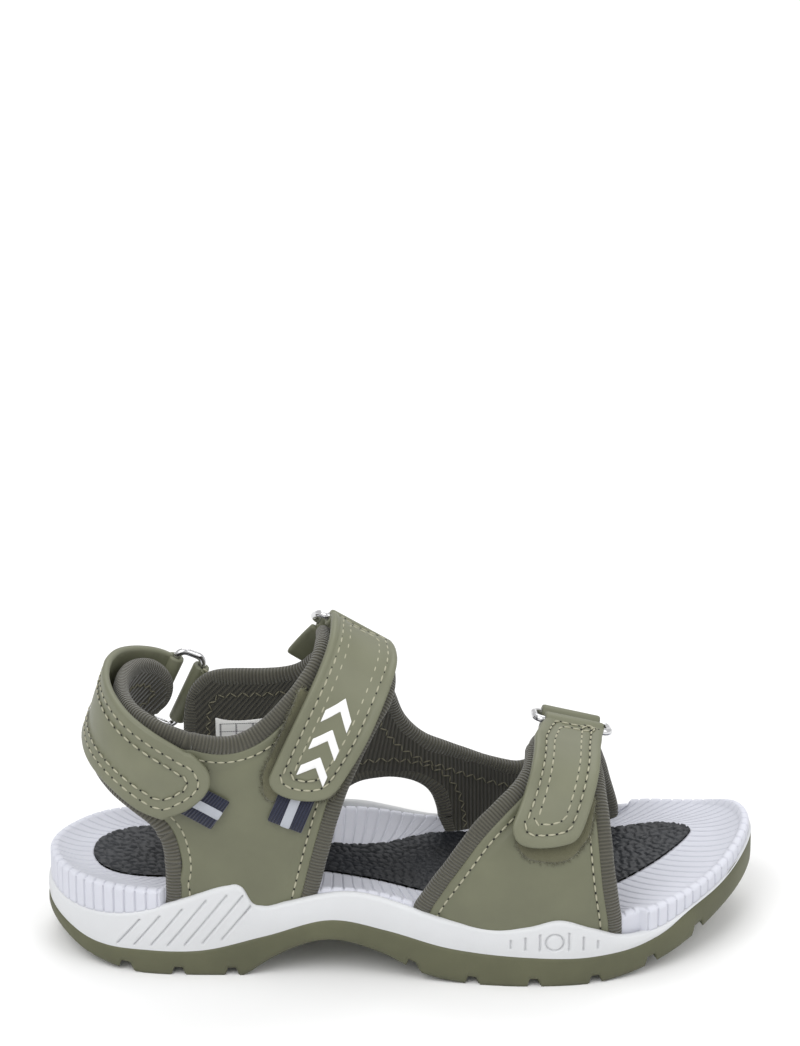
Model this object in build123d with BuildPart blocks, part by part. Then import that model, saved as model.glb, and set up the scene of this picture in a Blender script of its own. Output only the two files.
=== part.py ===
"""Child's three-strap sport sandal, right foot, European size 31.

Frame: +X runs from heel to toe, +Y towards the inner (medial) side, +Z up. The origin lies on the
ground under the middle of the sole. All sizes are in millimetres.

The uppers are layers of one foot-shaped body. That body is lofted through oval sections which fan round
the front of the ankle, from the heel to the instep, and then run straight forward to the toes. A layer
is the space between two offsets of the body, cut to its outline as seen from the side. Each strap is a
layer too, and its inner end wraps one bar of a wire ring, while the ring's other bar turns in a tab sewn
to the inner side of the upper.
"""

import os
from collections import namedtuple
from functools import cache
from math import cos, hypot, pi, radians, sin

from build123d import *

os.makedirs("parts", exist_ok=True)

# ---------------------------------------------------------------- sole sizes
LENGTH = 216.0
WIDTH = 80.0
HALF_LENGTH = LENGTH / 2
HALF_WIDTH = WIDTH / 2
LIP = 3.2  # thickness of the midsole's raised edge round the footbed
RIM_STEP = 0.8  # how far the footbed's exposed rim stands in from the midsole wall
RIM_WIDTH = 7.0  # of the footbed's raised rim
BOARD = 1.2  # lasting board under the footbed
INSET_PAD = 1.6  # thickness of the textured pad let into the footbed
HEEL_RIM_END = -73.5  # the footbed's rim covers the midsole's edge behind this
TOE_RIM_START = 73.0  # and in front of this
TREAD_DEPTH = 2.6
TREAD_WIDTH = 3.4
TREAD_LEAN = 18.0
TREAD_GROOVES = [-88, -72, -56, -5, 13, 31, 50, 69, 87]
REACH = 60.0  # more than the sandal's half width, for solids that run right across it
TALL = 160.0  # more than the sandal's height

# plan of the sole, anticlockwise from the back of the heel: lateral side, toe, medial side
SOLE_PLAN = [
    (-HALF_LENGTH, 2), (-104, -12), (-93, -22.5), (-75, -28.5), (-45, -30.5), (-15, -33), (13, -37),
    (38, -HALF_WIDTH), (60, -38), (80, -29.5), (96, -15), (105, -1), (HALF_LENGTH, 12),
    (104, 25), (92, 34), (72, 39.2), (54, HALF_WIDTH), (28, 35.5), (4, 29.5), (-20, 27.5), (-45, 27.5),
    (-70, 28.5), (-90, 25), (-103, 14.5),
]
INSET_PLAN = [(-94, 1.5), (-90, -9), (-78, -14), (-55, -13.5), (-30, -8.5), (-10, -10.5), (12, -16),
              (36, -17.5), (58, -11), (76, 1), (88, 13.5), (89, 20), (80, 26), (60, 27), (36, 25),
              (12, 22.5), (-8, 11), (-30, 9.5), (-55, 14.5), (-78, 16.5), (-90, 11.5)]

# side profiles of the sole, heel to toe, as (x, z)
GROUND = [
    [(-125, 16), (-108, 9.5), (-100, 5.2), (-90, 1.8), (-79, 0)],
    [(-79, 0), (-49, 0)],
    [(-49, 0), (-40, 6.5), (-24, 13), (-8, 9.5), (5, 3), (13, 0.8), (20, 0)],
    [(20, 0), (56, 0)],
    [(56, 0), (72, 2.6), (88, 7.4), (100, 12.5), (112, 17), (125, 22)],
]
OUTSOLE_TOP = [(-125, 19), (-106, 12.6), (-96, 8.9), (-78, 8.2), (-60, 8.9), (-42, 14), (-22, 20),
               (-6, 17.2), (12, 12.4), (36, 10.2), (58, 9.5), (72, 11), (84, 13.6), (96, 17),
               (106, 22.4), (125, 34)]
CAVITY_FLOOR = [(-125, 20), (-100, 14), (-80, 12.8), (-55, 13.4), (-38, 16), (-22, 18), (-6, 16),
                (12, 12.8), (36, 11.2), (58, 11), (74, 12.8), (88, 16), (100, 20), (125, 32)]
MIDSOLE_TOP = [
    [(-125, 22), (-98, 18.4), (-84, 20), (-66, 26), (-52, 30.8)],
    [(-52, 30.8), (-50, 30.6)],
    [(-50, 30.6), (-45.5, 24), (-43, 23.6)],
    [(-43, 23.6), (-30, 27), (-18, 29), (-4, 26.4), (12, 21.2), (28, 18.8), (37, 20), (46, 21.9),
     (56, 18.5), (66, 14.6), (76, 14.6), (88, 18), (98, 21), (108, 26.6), (125, 38)],
]
FOOTBED_RIM = [(-125, 29), (-96, 28.8), (-76, 28.4), (-30, 28.6), (-12, 28), (11, 22.6), (30, 19.4),
               (56, 19.2), (76, 21.6), (96, 24.6), (108, 30), (125, 41)]
FOOTBED_FLOOR = [(-125, 27), (-80, 26), (-45, 25.4), (-10, 21.8), (15, 18.4), (42, 16), (60, 16.2),
                 (80, 19), (98, 23), (125, 30)]

# ------------------------------------------------------------ foot-shaped body
PIVOT_X, PIVOT_Z = 10.0, 140.0  # the line in front of the shin about which the ankle sections fan
Station = namedtuple("Station", "fan x crest wide far lateral medial")
# fan angle back from vertical and x of the plane, then the distances from the fan line down to the
# crest, to the widest level and to the far end, and the half widths of the two sides
STATIONS = [
    Station(74, PIVOT_X, 54, 76, 97, 22.5, 21.5),
    Station(64, PIVOT_X, 52.5, 80, 104, 24.0, 23.0),
    Station(56, PIVOT_X, 51.5, 87, 120, 25.5, 24.5),
    Station(49, PIVOT_X, 51, 100, 143.5, 27.0, 26.0),
    Station(41, PIVOT_X, 50.8, 128, 166, 27.0, 26.0),
    Station(30, PIVOT_X, 51.2, 131, 156, 27.8, 25.5),
    Station(17, PIVOT_X, 52, 119, 141, 29.6, 25.2),
    Station(0, PIVOT_X, 58, 117, 135, 34.0, 27.6),
    Station(0, 26.0, 68.5, 120, 136, 37.0, 32.2),
    Station(0, 44.0, 77.8, 122, 137, 37.4, 36.4),
    Station(0, 62.0, 82.4, 123, 137, 35.0, 36.2),
    Station(0, 82.0, 88.0, 122, 136, 26.0, 33.0),
]
CREST_POWER = 2.5  # squareness of the upper half of each section
FAR_POWER = 2.2
SECTION_POINTS = 11  # down each half of a section
STEPS_PER_STATION = 1  # sections lofted from one station to the next

# ------------------------------------------------------------ layers, as offsets from the leather's face
LINING_IN = -4.0
FOAM_IN = -3.2
LEATHER_IN = -1.2
LEATHER_OUT = 0.0
LOOP_OUT = 0.7
HOOK_IN = 1.7
HOOK_OUT = 2.6
STRAP_OUT = 5.0
TAB_IN, TAB_OUT = 1.8, 2.5
TRIM = 0.3  # thickness of the printed label, emblem and reflective stripes
ROLL_WIDTH = 5.5  # of the lining's padded edge roll, which frames the leather
FOAM_SETBACK = 1.4
HOOK_SETBACK = 1.5

# outlines as seen from the side, clockwise, as curves of (x, z) points joined by straight lines
QUARTER = [
    [(-125, 86.5), (-104, 87), (-92, 87), (-80, 85.4), (-67, 81.9), (-53, 78.5), (-46, 79.8),
     (-40, 84.2), (-34, 90), (-29, 95.3), (-25, 100.5), (-22.5, 108)],
    [(0.5, 96), (-2.2, 86.4), (-7.3, 79.5), (-12.8, 70.3), (-18, 58.4), (-22.6, 42.4), (-26.3, 26.9),
     (-27.5, 8)],
    [(-72.5, 8), (-72, 24.2), (-72, 36.3), (-73, 44.6), (-76.5, 50.7), (-85, 56), (-93, 60),
     (-101, 62), (-125, 62.5)],
]
HEEL_LOBE = [
    [(-125, 86.5), (-104, 87), (-92, 87), (-82, 85.2), (-75, 81.5), (-70.5, 76), (-69.3, 70),
     (-71.5, 64.5), (-78, 61), (-86, 60.5), (-93, 61.2), (-101, 62), (-125, 62.5)],
]
TONGUE = [
    [(-28, 94), (-24, 98), (-22, 104)],
    [(0, 96), (-1.5, 88), (-4.5, 84)],
]
VAMP = [
    [(-5, 8), (1.2, 22.8), (10.2, 37.6), (19.1, 50.6), (26.7, 57.6), (33, 61.4), (38, 64.5), (42, 70)],
    [(60.3, 66), (61.3, 54.9), (62.3, 46.7), (63.6, 32.8), (66.1, 13.5), (66.5, 6)],
]
MEDIAL = [
    [(-66.5, 8), (-66.5, 30), (-66.2, 50), (-65.6, 63), (-63.8, 70), (-58.5, 75.3), (-49, 77.3),
     (-39.5, 78.4), (-31.5, 80.8), (-27, 85.5), (-22, 91.5)],
    [(-22, 91.5), (-13, 88), (-5, 81), (-1.5, 71), (2, 60.8), (8, 53.6), (16, 48.8),
     (25.2, 43.6), (33, 39.8), (38, 38.6), (42.3, 41), (45, 48), (46.5, 58)],
    [(46.5, 58), (53, 57.6), (60, 55)],
    [(60, 55), (63.5, 43), (66.6, 30.5), (69.2, 21), (70.5, 6)],
    [(12.5, 6), (11.5, 24.5), (9.4, 31.8), (5.4, 36.1), (0, 38.2), (-6, 38.6), (-13, 37.2), (-19, 32),
     (-23, 22), (-25, 6)],
]
MIDDLE = 1.0  # the plane where the outlines of the two sides of the foot meet
TONGUE_END = 5.0  # how far the quarter's tongue and the vamp cross the middle line towards the inner side
LABEL = [[(-57, 46), (-57, 62)], [(-57, 62), (-36, 63.5)], [(-36, 63.5), (-36, 47.5)]]

# ------------------------------------------------------------ straps
# each strap's outline on the outer side of the foot, the part that goes on past the crest or the heel,
# its loop patch and hook patch, and the centres of its ring's two long bars
Strap = namedtuple("Strap", "outer inner loop hook turn strap_bar holder_bar bar_along sleeve tab")
STRAPS = {
    "heel": Strap(
        outer=[
            [(-112, 93), (-98, 91.5), (-86.5, 89), (-78.5, 84.6), (-70, 80), (-62.5, 75.8)],
            [(-62.5, 75.8), (-58.8, 70.5), (-59.3, 64), (-65, 58.3), (-72.5, 55.3)],
            [(-72.5, 55.3), (-78.5, 57.6), (-85, 62), (-92.4, 65.5), (-98, 66.6), (-112, 67)],
        ],
        inner=[
            [(-112, 93), (-98, 91.5), (-86.5, 89), (-78.5, 84.8), (-70, 80.5), (-58, 75)],
            [(-58, 53), (-70, 57.5), (-78.5, 60), (-86, 63), (-92.4, 65.5), (-98, 66.6), (-112, 67)],
        ],
        loop=[[(-84, 80), (-61, 71), (-60.5, 64), (-66, 59), (-84, 64)]],
        hook=[[(-88, 84), (-66, 74.5), (-61.5, 69), (-62, 65), (-66.5, 61), (-72, 58.5), (-88, 66.5)]],
        turn=MIDDLE,
        strap_bar=(-72.0, 29.2, 69.2),
        holder_bar=(-64.3, 29.4, 65.8),
        bar_along=(0.404, 0, 0.914),
        sleeve=20.0,
        tab=[[(-64.5, 55.5), (-60.5, 75.5)], [(-48, 69), (-51, 51)]],
    ),
    "instep": Strap(
        outer=[
            [(-41, 66), (-35.7, 77.6), (-28.1, 92.8), (-23.4, 101.7), (-20.8, 105.6), (-18, 111)],
            [(3, 101), (-1.6, 92.2), (-5.8, 85.6), (-12, 74.1), (-19.4, 63)],
            [(-19.4, 63), (-23, 60), (-28, 59.2), (-34, 60), (-39, 62.4), (-41, 66)],
        ],
        inner=[[(-49.6, 58.5), (-15.6, 111.5)], [(1.7, 101), (-32.3, 48)]],
        loop=[[(-42.8, 66.5), (-40.5, 57.8), (-24, 60.5), (-21, 63.5), (-9.5, 84), (-31, 92)]],
        hook=[[(-38.2, 67), (-34, 63.2), (-28, 62.4), (-22.5, 65), (-8, 87), (-26.5, 93)]],
        turn=2.0,
        strap_bar=(-13.2, 8.8, 96.2),
        holder_bar=(-15.9, 15.0, 91.85),
        bar_along=(0.847, 0, -0.532),
        sleeve=20.0,
        tab=[[(-27, 96), (-6.5, 83)], [(-14, 71), (-34.5, 84)]],
    ),
    "toe": Strap(
        outer=[
            [(30.9, 51), (35.5, 59.8), (39, 65.4), (43.2, 70), (46, 77)],
            [(65, 71), (62.4, 62.6), (60.1, 59.9), (56.6, 54.8), (52.2, 47.5)],
            [(52.2, 47.5), (50, 45.3), (46.9, 44.7), (41.8, 44.6), (36.1, 45.4), (32.5, 47.2), (30.9, 51)],
        ],
        inner=[[(38.6, 45.8), (46.4, 76.3)], [(63.4, 71.8), (55.6, 41.2)]],
        loop=[[(33.4, 45.5), (37, 41.6), (48, 40.4), (54.5, 46), (57.5, 54), (38, 60)]],
        hook=[[(33.8, 51.5), (35.5, 48.7), (42, 47.4), (50, 49), (57.5, 59), (39, 63)]],
        turn=2.0,
        strap_bar=(52.5, 9.4, 62.8),
        holder_bar=(52.0, 17.4, 61.0),
        bar_along=(0.969, 0, -0.248),
        sleeve=18.0,
        tab=[[(43.5, 61.5), (61.5, 57)], [(60, 47), (43, 51)]],
    ),
}
WIRE_R = 1.1
BORE_R = WIRE_R + 0.15
SLEEVE_R = BORE_R + 1.4
RING_SPARE = 5.4  # of a ring's long side over its strap's sleeve
RING_CORNER_R = 2.6

PULL_TABS = {"heel": ((-60.2, 57.6), 12.0, 10.5, -33.0), "instep": ((-33.8, 56.0), 12.0, 11.0, 68.0)}
STRIPE_WIDTH = 3.0
CHEVRON_AT = (-21.5, 76.0)
CHEVRON_PITCH = 8.5
CHEVRON_SIZE = 9.0
CHEVRON_BAR = 3.2


# ---------------------------------------------------------------- helpers
def save(shape, name):
    """Label a finished piece and write it to its own STEP file."""
    shape.label = name
    export_step(shape, f"parts/{name}.step")


def outline_prism(curves, near=-REACH, far=REACH):
    """Solid on a closed side outline, running across the sandal from y = near to y = far."""
    with BuildPart() as prism:
        with BuildSketch(Plane.XZ.offset(-far)):
            with BuildLine():
                for curve, following in zip(curves, [*curves[1:], curves[0]]):
                    if len(curve) > 2:
                        Spline(*curve)
                    else:
                        Line(*curve)
                    if curve[-1] != following[0]:
                        Line(curve[-1], following[0])
            make_face()
        extrude(amount=far - near)
    return prism.part


def backwards(curves):
    return [curve[::-1] for curve in curves[::-1]]


def raised(curve, by):
    return [(x, z + by) for x, z in curve]


def between(lower, upper):
    """Everything between two side profiles."""
    return outline_prism([*upper, *backwards(lower)])


def above(profile):
    """Everything over one side profile."""
    return between([profile], [[(profile[0][0], TALL), (profile[-1][0], TALL)]])


def inward(curves, by):
    """Clockwise outline curves, each moved towards the inside."""
    moved = []
    for before, curve, after in zip([curves[-1], *curves[:-1]], curves, [*curves[1:], curves[0]]):
        entry = before[-2] if before[-1] == curve[0] else curve[0]
        leaving = after[1] if after[0] == curve[-1] else curve[-1]
        walk = [entry, *curve, leaving]
        inner = []
        for (xa, za), (x, z), (xb, zb) in zip(walk, curve, walk[2:]):
            along = hypot(xb - xa, zb - za)
            inner.append((x + by * (zb - za) / along, z - by * (xb - xa) / along))
        moved.append(inner)
    return moved


def plan_prism(points, inset=0.0):
    """Upright solid on a closed plan, moved inwards by inset."""
    moved = []
    for i, (x, y) in enumerate(points):
        (xa, ya), (xb, yb) = points[i - 1], points[(i + 1) % len(points)]
        along = hypot(xb - xa, yb - ya)
        moved.append((x - inset * (yb - ya) / along, y + inset * (xb - xa) / along))
    with BuildPart() as prism:
        with BuildSketch(Plane.XY.offset(-REACH)):
            with BuildLine():
                Spline(*moved, periodic=True)
            make_face()
        extrude(amount=REACH + TALL)
    return prism.part


def smooth(before, start, end, after, t):
    """Catmull-Rom curve from start to end."""
    return 0.5 * (2 * start + (end - before) * t + (2 * before - 5 * start + 4 * end - after) * t**2
                  + (3 * start - before - 3 * end + after) * t**3)


def slant(index, distance):
    """How squarely a section's plane cuts the crest line, or the far line, at one station."""
    ends = []
    for station in (STATIONS[max(index - 1, 0)], STATIONS[min(index + 1, len(STATIONS) - 1)]):
        reach, fan = getattr(station, distance), radians(station.fan)
        ends.append((station.x - reach * sin(fan), -reach * cos(fan)))
    (xa, za), (xb, zb) = ends
    fan = radians(STATIONS[index].fan)
    return abs(cos(fan) * (xb - xa) - sin(fan) * (zb - za)) / hypot(xb - xa, zb - za)


def grown_station(index, offset):
    """One station of the body grown by offset."""
    station = STATIONS[min(max(index, 0), len(STATIONS) - 1)]
    index = STATIONS.index(station)
    return station._replace(
        crest=station.crest - offset / slant(index, "crest"),
        far=station.far + offset / slant(index, "far"),
        lateral=station.lateral + offset,
        medial=station.medial + offset,
    )


@cache
def body(offset):
    """The foot-shaped body grown by offset on every side."""
    with BuildPart() as grown:
        for step in range(STEPS_PER_STATION * (len(STATIONS) - 1) + 1):
            index, part_way = divmod(step, STEPS_PER_STATION)
            near = [grown_station(index + k, offset) for k in (-1, 0, 1, 2)]
            station = Station(*(smooth(*values, part_way / STEPS_PER_STATION) for values in zip(*near)))
            fan = radians(station.fan)
            plane = Plane(origin=(station.x, 0, PIVOT_Z), x_dir=(0, 1, 0), z_dir=(cos(fan), 0, -sin(fan)))
            with BuildSketch(plane):
                with BuildLine():
                    for half in (station.medial, -station.lateral):
                        points = []
                        for k in range(SECTION_POINTS + 1):
                            turn = pi * k / SECTION_POINTS
                            end = station.crest if turn < pi / 2 else station.far
                            power = 2 / (CREST_POWER if turn < pi / 2 else FAR_POWER)
                            depth = station.wide + (end - station.wide) * abs(cos(turn)) ** power
                            points.append((half * sin(turn) ** power, -depth))
                        Polyline(*points)
                make_face()
        loft(ruled=True)
    return grown.part


def layer(outline, low, high):
    """The part of an outline's prism that lies between two offsets of the body."""
    with BuildPart() as piece:
        add(outline)
        add(body(high), mode=Mode.INTERSECT)
        add(body(low), mode=Mode.SUBTRACT)
    return piece.part


def padded_panel(name, pieces):
    """Leather, foam and lining of one part of the upper, from outlines each with its span across the foot.

    The lining is the full outline, and its edge roll comes up round the foam and the leather."""
    with BuildPart() as leather:
        for outline, near, far in pieces:
            add(layer(outline_prism(inward(outline, ROLL_WIDTH), near, far), LEATHER_IN, LEATHER_OUT))
        add(OVER_BOARD, mode=Mode.INTERSECT)
    save(leather.part, f"{name}_leather")
    with BuildPart() as foam:
        for outline, near, far in pieces:
            add(layer(outline_prism(inward(outline, FOAM_SETBACK), near, far), FOAM_IN, LEATHER_IN))
        add(OVER_BOARD, mode=Mode.INTERSECT)
    save(foam.part, f"{name}_foam")
    with BuildPart() as whole:
        for outline, near, far in pieces:
            add(layer(outline_prism(outline, near, far), LINING_IN, LEATHER_OUT))
        add(OVER_BOARD, mode=Mode.INTERSECT)
    with BuildPart() as lining:
        add(whole.part)
        add(leather.part, mode=Mode.SUBTRACT)
        add(foam.part, mode=Mode.SUBTRACT)
    save(lining.part, f"{name}_lining")
    return whole.part


# ---------------------------------------------------------------- uppers
OVER_BOARD = above(raised(CAVITY_FLOOR, BOARD))
uppers = [
    padded_panel("lateral_quarter", [(QUARTER, -REACH, MIDDLE), (HEEL_LOBE, MIDDLE, REACH), (TONGUE, MIDDLE, TONGUE_END)]),
    padded_panel("lateral_vamp", [(VAMP, -REACH, TONGUE_END)]),
    padded_panel("medial_upper", [(MEDIAL, TONGUE_END, REACH)]),
]

with BuildPart() as size_label:
    add(layer(outline_prism(LABEL, TONGUE_END, REACH), LINING_IN - TRIM, LINING_IN))
save(size_label.part, "size_label")

# ---------------------------------------------------------------- sole unit
with BuildPart() as cavity:
    add(plan_prism(SOLE_PLAN, LIP))
    add(above(CAVITY_FLOOR), mode=Mode.INTERSECT)

with BuildPart() as outsole:
    add(plan_prism(SOLE_PLAN))
    add(between(GROUND, [OUTSOLE_TOP]), mode=Mode.INTERSECT)
    add(cavity.part, mode=Mode.SUBTRACT)
    for groove_x in TREAD_GROOVES:
        with BuildSketch(Plane.XZ.offset(-REACH)):
            with Locations((groove_x, 0)):
                Rectangle(TREAD_WIDTH, 2 * TREAD_DEPTH, rotation=TREAD_LEAN)
        extrude(amount=2 * REACH, mode=Mode.SUBTRACT)
    with Locations((0, 2, 0)):
        Box(LENGTH - 40, TREAD_WIDTH, 2 * TREAD_DEPTH, mode=Mode.SUBTRACT)
save(outsole.part, "outsole")

with BuildPart() as midsole:
    add(plan_prism(SOLE_PLAN))
    add(between([OUTSOLE_TOP], MIDSOLE_TOP), mode=Mode.INTERSECT)
    add(cavity.part, mode=Mode.SUBTRACT)
    for upper in uppers:
        add(upper, mode=Mode.SUBTRACT)
save(midsole.part, "midsole")

with BuildPart() as lasting_board:
    add(plan_prism(SOLE_PLAN, LIP + 1))
    add(between([CAVITY_FLOOR], [raised(CAVITY_FLOOR, BOARD)]), mode=Mode.INTERSECT)
save(lasting_board.part, "lasting_board")

with BuildPart() as exposed_rim:
    add(plan_prism(SOLE_PLAN, RIM_STEP))
    add(between(GROUND, [FOOTBED_RIM]), mode=Mode.INTERSECT)
    add(between(GROUND, MIDSOLE_TOP), mode=Mode.SUBTRACT)
    with Locations(((HEEL_RIM_END + TOE_RIM_START) / 2, 0, 0)):
        Box(TOE_RIM_START - HEEL_RIM_END, 2 * REACH, TALL, mode=Mode.SUBTRACT)

with BuildPart() as footbed_inset:
    add(plan_prism(INSET_PLAN))
    add(between([raised(FOOTBED_FLOOR, -INSET_PAD)], [raised(FOOTBED_FLOOR, TRIM)]), mode=Mode.INTERSECT)
save(footbed_inset.part, "footbed_inset")

with BuildPart() as footbed:
    add(plan_prism(SOLE_PLAN, LIP))
    add(between([raised(CAVITY_FLOOR, BOARD)], [FOOTBED_RIM]), mode=Mode.INTERSECT)
    add(exposed_rim.part)
    with BuildPart(mode=Mode.PRIVATE) as dish:
        add(plan_prism(SOLE_PLAN, RIM_WIDTH))
        add(above(FOOTBED_FLOOR), mode=Mode.INTERSECT)
    add(dish.part, mode=Mode.SUBTRACT)
    add(footbed_inset.part, mode=Mode.SUBTRACT)
    for upper in uppers:
        add(upper, mode=Mode.SUBTRACT)
save(footbed.part.solids().sort_by(SortBy.VOLUME)[-1], "footbed")

# ---------------------------------------------------------------- straps, rings and pile fastenings
for name, strap in STRAPS.items():
    bar_start, bar_end = Vector(*strap.strap_bar), Vector(*strap.holder_bar)
    along = Vector(*strap.bar_along).normalized()
    across = (bar_end - bar_start).normalized()
    gap = (bar_end - bar_start).length
    at_strap_bar = Plane(origin=bar_start, x_dir=across, z_dir=along)
    at_holder_bar = Plane(origin=bar_end, x_dir=across, z_dir=along)
    ring_length = strap.sleeve + RING_SPARE

    with BuildPart() as loop_patch:
        add(layer(outline_prism([[*strap.loop[0], strap.loop[0][0]]], -REACH, 0), LEATHER_OUT, LOOP_OUT))
    save(loop_patch.part, f"{name}_loop_patch")

    with BuildPart() as hook_patch:
        add(layer(outline_prism([[*strap.hook[0], strap.hook[0][0]]], -REACH, 0), HOOK_IN, HOOK_OUT))
    save(hook_patch.part, f"{name}_hook_patch")

    with BuildPart() as band:
        with BuildPart(mode=Mode.PRIVATE) as inner_end:
            add(layer(outline_prism(strap.inner, strap.turn, REACH), HOOK_OUT, STRAP_OUT))
            split(bisect_by=Plane(origin=bar_start, z_dir=across), keep=Keep.BOTTOM)
        add(inner_end.part)
        add(layer(outline_prism(strap.outer, -REACH, strap.turn), HOOK_OUT, STRAP_OUT))
        with Locations(at_strap_bar):
            Cylinder(SLEEVE_R, strap.sleeve)
            Cylinder(BORE_R, 2 * ring_length, mode=Mode.SUBTRACT)
    save(band.part, f"{name}_strap")

    with BuildPart() as ring:
        middle = Plane(origin=(bar_start + bar_end) / 2, x_dir=across, z_dir=across.cross(along))
        with BuildSketch(middle, mode=Mode.PRIVATE) as loop:
            RectangleRounded(gap, ring_length, RING_CORNER_R)
        path = loop.sketch.face().outer_wire()
        with BuildSketch(Plane(origin=path @ 0, z_dir=path % 0)):
            Circle(WIRE_R)
        sweep(path=path)
    save(ring.part, f"{name}_ring")

    with BuildPart() as ring_tab:
        add(layer(outline_prism(strap.tab, TONGUE_END, REACH), LEATHER_OUT, LOOP_OUT))
        with Locations(at_holder_bar):
            Cylinder(SLEEVE_R, strap.sleeve)
            Cylinder(BORE_R, 2 * ring_length, mode=Mode.SUBTRACT)
        for upper in uppers:
            add(upper, mode=Mode.SUBTRACT)
    save(ring_tab.part, f"{name}_ring_tab")

    # a folded ribbon to pull the strap open, stitched in under its tip, with a reflective stripe
    if name in PULL_TABS:
        (tab_x, tab_z), tab_length, tab_width, lean = PULL_TABS[name]
        middle = Plane(origin=(tab_x, 0, tab_z), x_dir=(cos(radians(lean)), 0, sin(radians(lean))), z_dir=(0, -1, 0))
        with BuildPart() as ribbon:
            with BuildSketch(middle):
                Rectangle(tab_length, tab_width)
            extrude(amount=REACH)
        with BuildPart() as pull_tab:
            add(layer(ribbon.part, TAB_IN, TAB_OUT))
            add(hook_patch.part, mode=Mode.SUBTRACT)
        save(pull_tab.part, f"{name}_pull_tab")
        with BuildPart() as stripe_path:
            with BuildSketch(middle):
                Rectangle(tab_length, STRIPE_WIDTH)
            extrude(amount=REACH)
        with BuildPart() as stripe:
            add(layer(stripe_path.part, TAB_OUT, TAB_OUT + TRIM))
            add(band.part, mode=Mode.SUBTRACT)
        save(stripe.part, f"{name}_pull_tab_stripe")

# three raised chevrons printed along the instep strap
with BuildPart() as chevrons:
    along_strap = Plane(origin=(CHEVRON_AT[0], 0, CHEVRON_AT[1]), x_dir=(0.43, 0, 0.9), z_dir=(0, -1, 0))
    with BuildSketch(along_strap):
        with GridLocations(CHEVRON_PITCH, 0, 3, 1):
            for side in (1, -1):
                with Locations((0, side * CHEVRON_SIZE / 4)):
                    Rectangle(CHEVRON_BAR, CHEVRON_SIZE / 2 + 1.5, rotation=side * 40)
    extrude(amount=REACH)
with BuildPart() as instep_emblem:
    add(layer(chevrons.part, STRAP_OUT, STRAP_OUT + TRIM))
save(instep_emblem.part, "instep_emblem")
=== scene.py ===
import math

import bmesh
import bpy
import numpy as np
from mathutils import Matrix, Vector
from mathutils.geometry import delaunay_2d_cdt


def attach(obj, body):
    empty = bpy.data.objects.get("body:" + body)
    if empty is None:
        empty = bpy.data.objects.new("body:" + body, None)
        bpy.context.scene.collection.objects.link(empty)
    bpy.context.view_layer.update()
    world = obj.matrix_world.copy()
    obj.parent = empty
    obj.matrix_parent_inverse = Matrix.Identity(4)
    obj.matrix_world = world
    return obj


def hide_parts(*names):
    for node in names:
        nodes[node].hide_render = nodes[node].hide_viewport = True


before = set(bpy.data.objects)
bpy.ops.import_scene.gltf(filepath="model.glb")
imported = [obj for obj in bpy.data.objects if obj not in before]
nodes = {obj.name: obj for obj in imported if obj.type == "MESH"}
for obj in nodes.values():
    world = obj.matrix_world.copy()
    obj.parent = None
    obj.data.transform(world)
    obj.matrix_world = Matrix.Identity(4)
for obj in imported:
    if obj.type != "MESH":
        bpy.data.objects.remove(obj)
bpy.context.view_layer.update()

scene = bpy.context.scene

# ---------------------------------------------------------------- studio
# A plain pale floor and soft light from three large panels, with the camera well back on the sandal's
# outer side, looking down on it.
SANDAL_MIDDLE = Vector((0.0, 0.0, 0.040))
CAMERA_AWAY = 1.600
CAMERA_UP = math.radians(29.0)
CAMERA_ROUND = math.radians(-2.0)
AIM_ABOVE = math.radians(3.118)  # the camera aims this much over the sandal's middle
AIM_ASIDE = math.radians(0.023)
LENS, SENSOR = 180.6, 36.0  # millimetres
camera_data = bpy.data.cameras.new("camera")
camera_data.lens = LENS
camera_data.sensor_width = SENSOR
camera = bpy.data.objects.new("camera", camera_data)
scene.collection.objects.link(camera)
camera.location = SANDAL_MIDDLE + CAMERA_AWAY * Vector((
    math.sin(CAMERA_ROUND) * math.cos(CAMERA_UP),
    -math.cos(CAMERA_ROUND) * math.cos(CAMERA_UP),
    math.sin(CAMERA_UP),
))
camera.rotation_euler = (math.pi / 2 - CAMERA_UP + AIM_ABOVE, 0.0, CAMERA_ROUND + AIM_ASIDE)
scene.camera = camera

FLOOR_HALF = 6.0
FLOOR_GREY = 0.86
FLOOR_ROUGHNESS = 0.9
floor_corners = [(x * FLOOR_HALF, y * FLOOR_HALF, 0) for x, y in ((-1, -1), (1, -1), (1, 1), (-1, 1))]
floor_mesh = bpy.data.meshes.new("floor")
floor_mesh.from_pydata(floor_corners, [], [(0, 1, 2, 3)])
floor = bpy.data.objects.new("floor", floor_mesh)
scene.collection.objects.link(floor)
floor_paint = bpy.data.materials.new("floor_paint")
floor_paint.use_nodes = True
paint_shader = floor_paint.node_tree.nodes["Principled BSDF"]
paint_shader.inputs["Base Color"].default_value = (FLOOR_GREY, FLOOR_GREY, FLOOR_GREY, 1)
paint_shader.inputs["Roughness"].default_value = FLOOR_ROUGHNESS
floor_mesh.materials.append(floor_paint)

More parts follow.
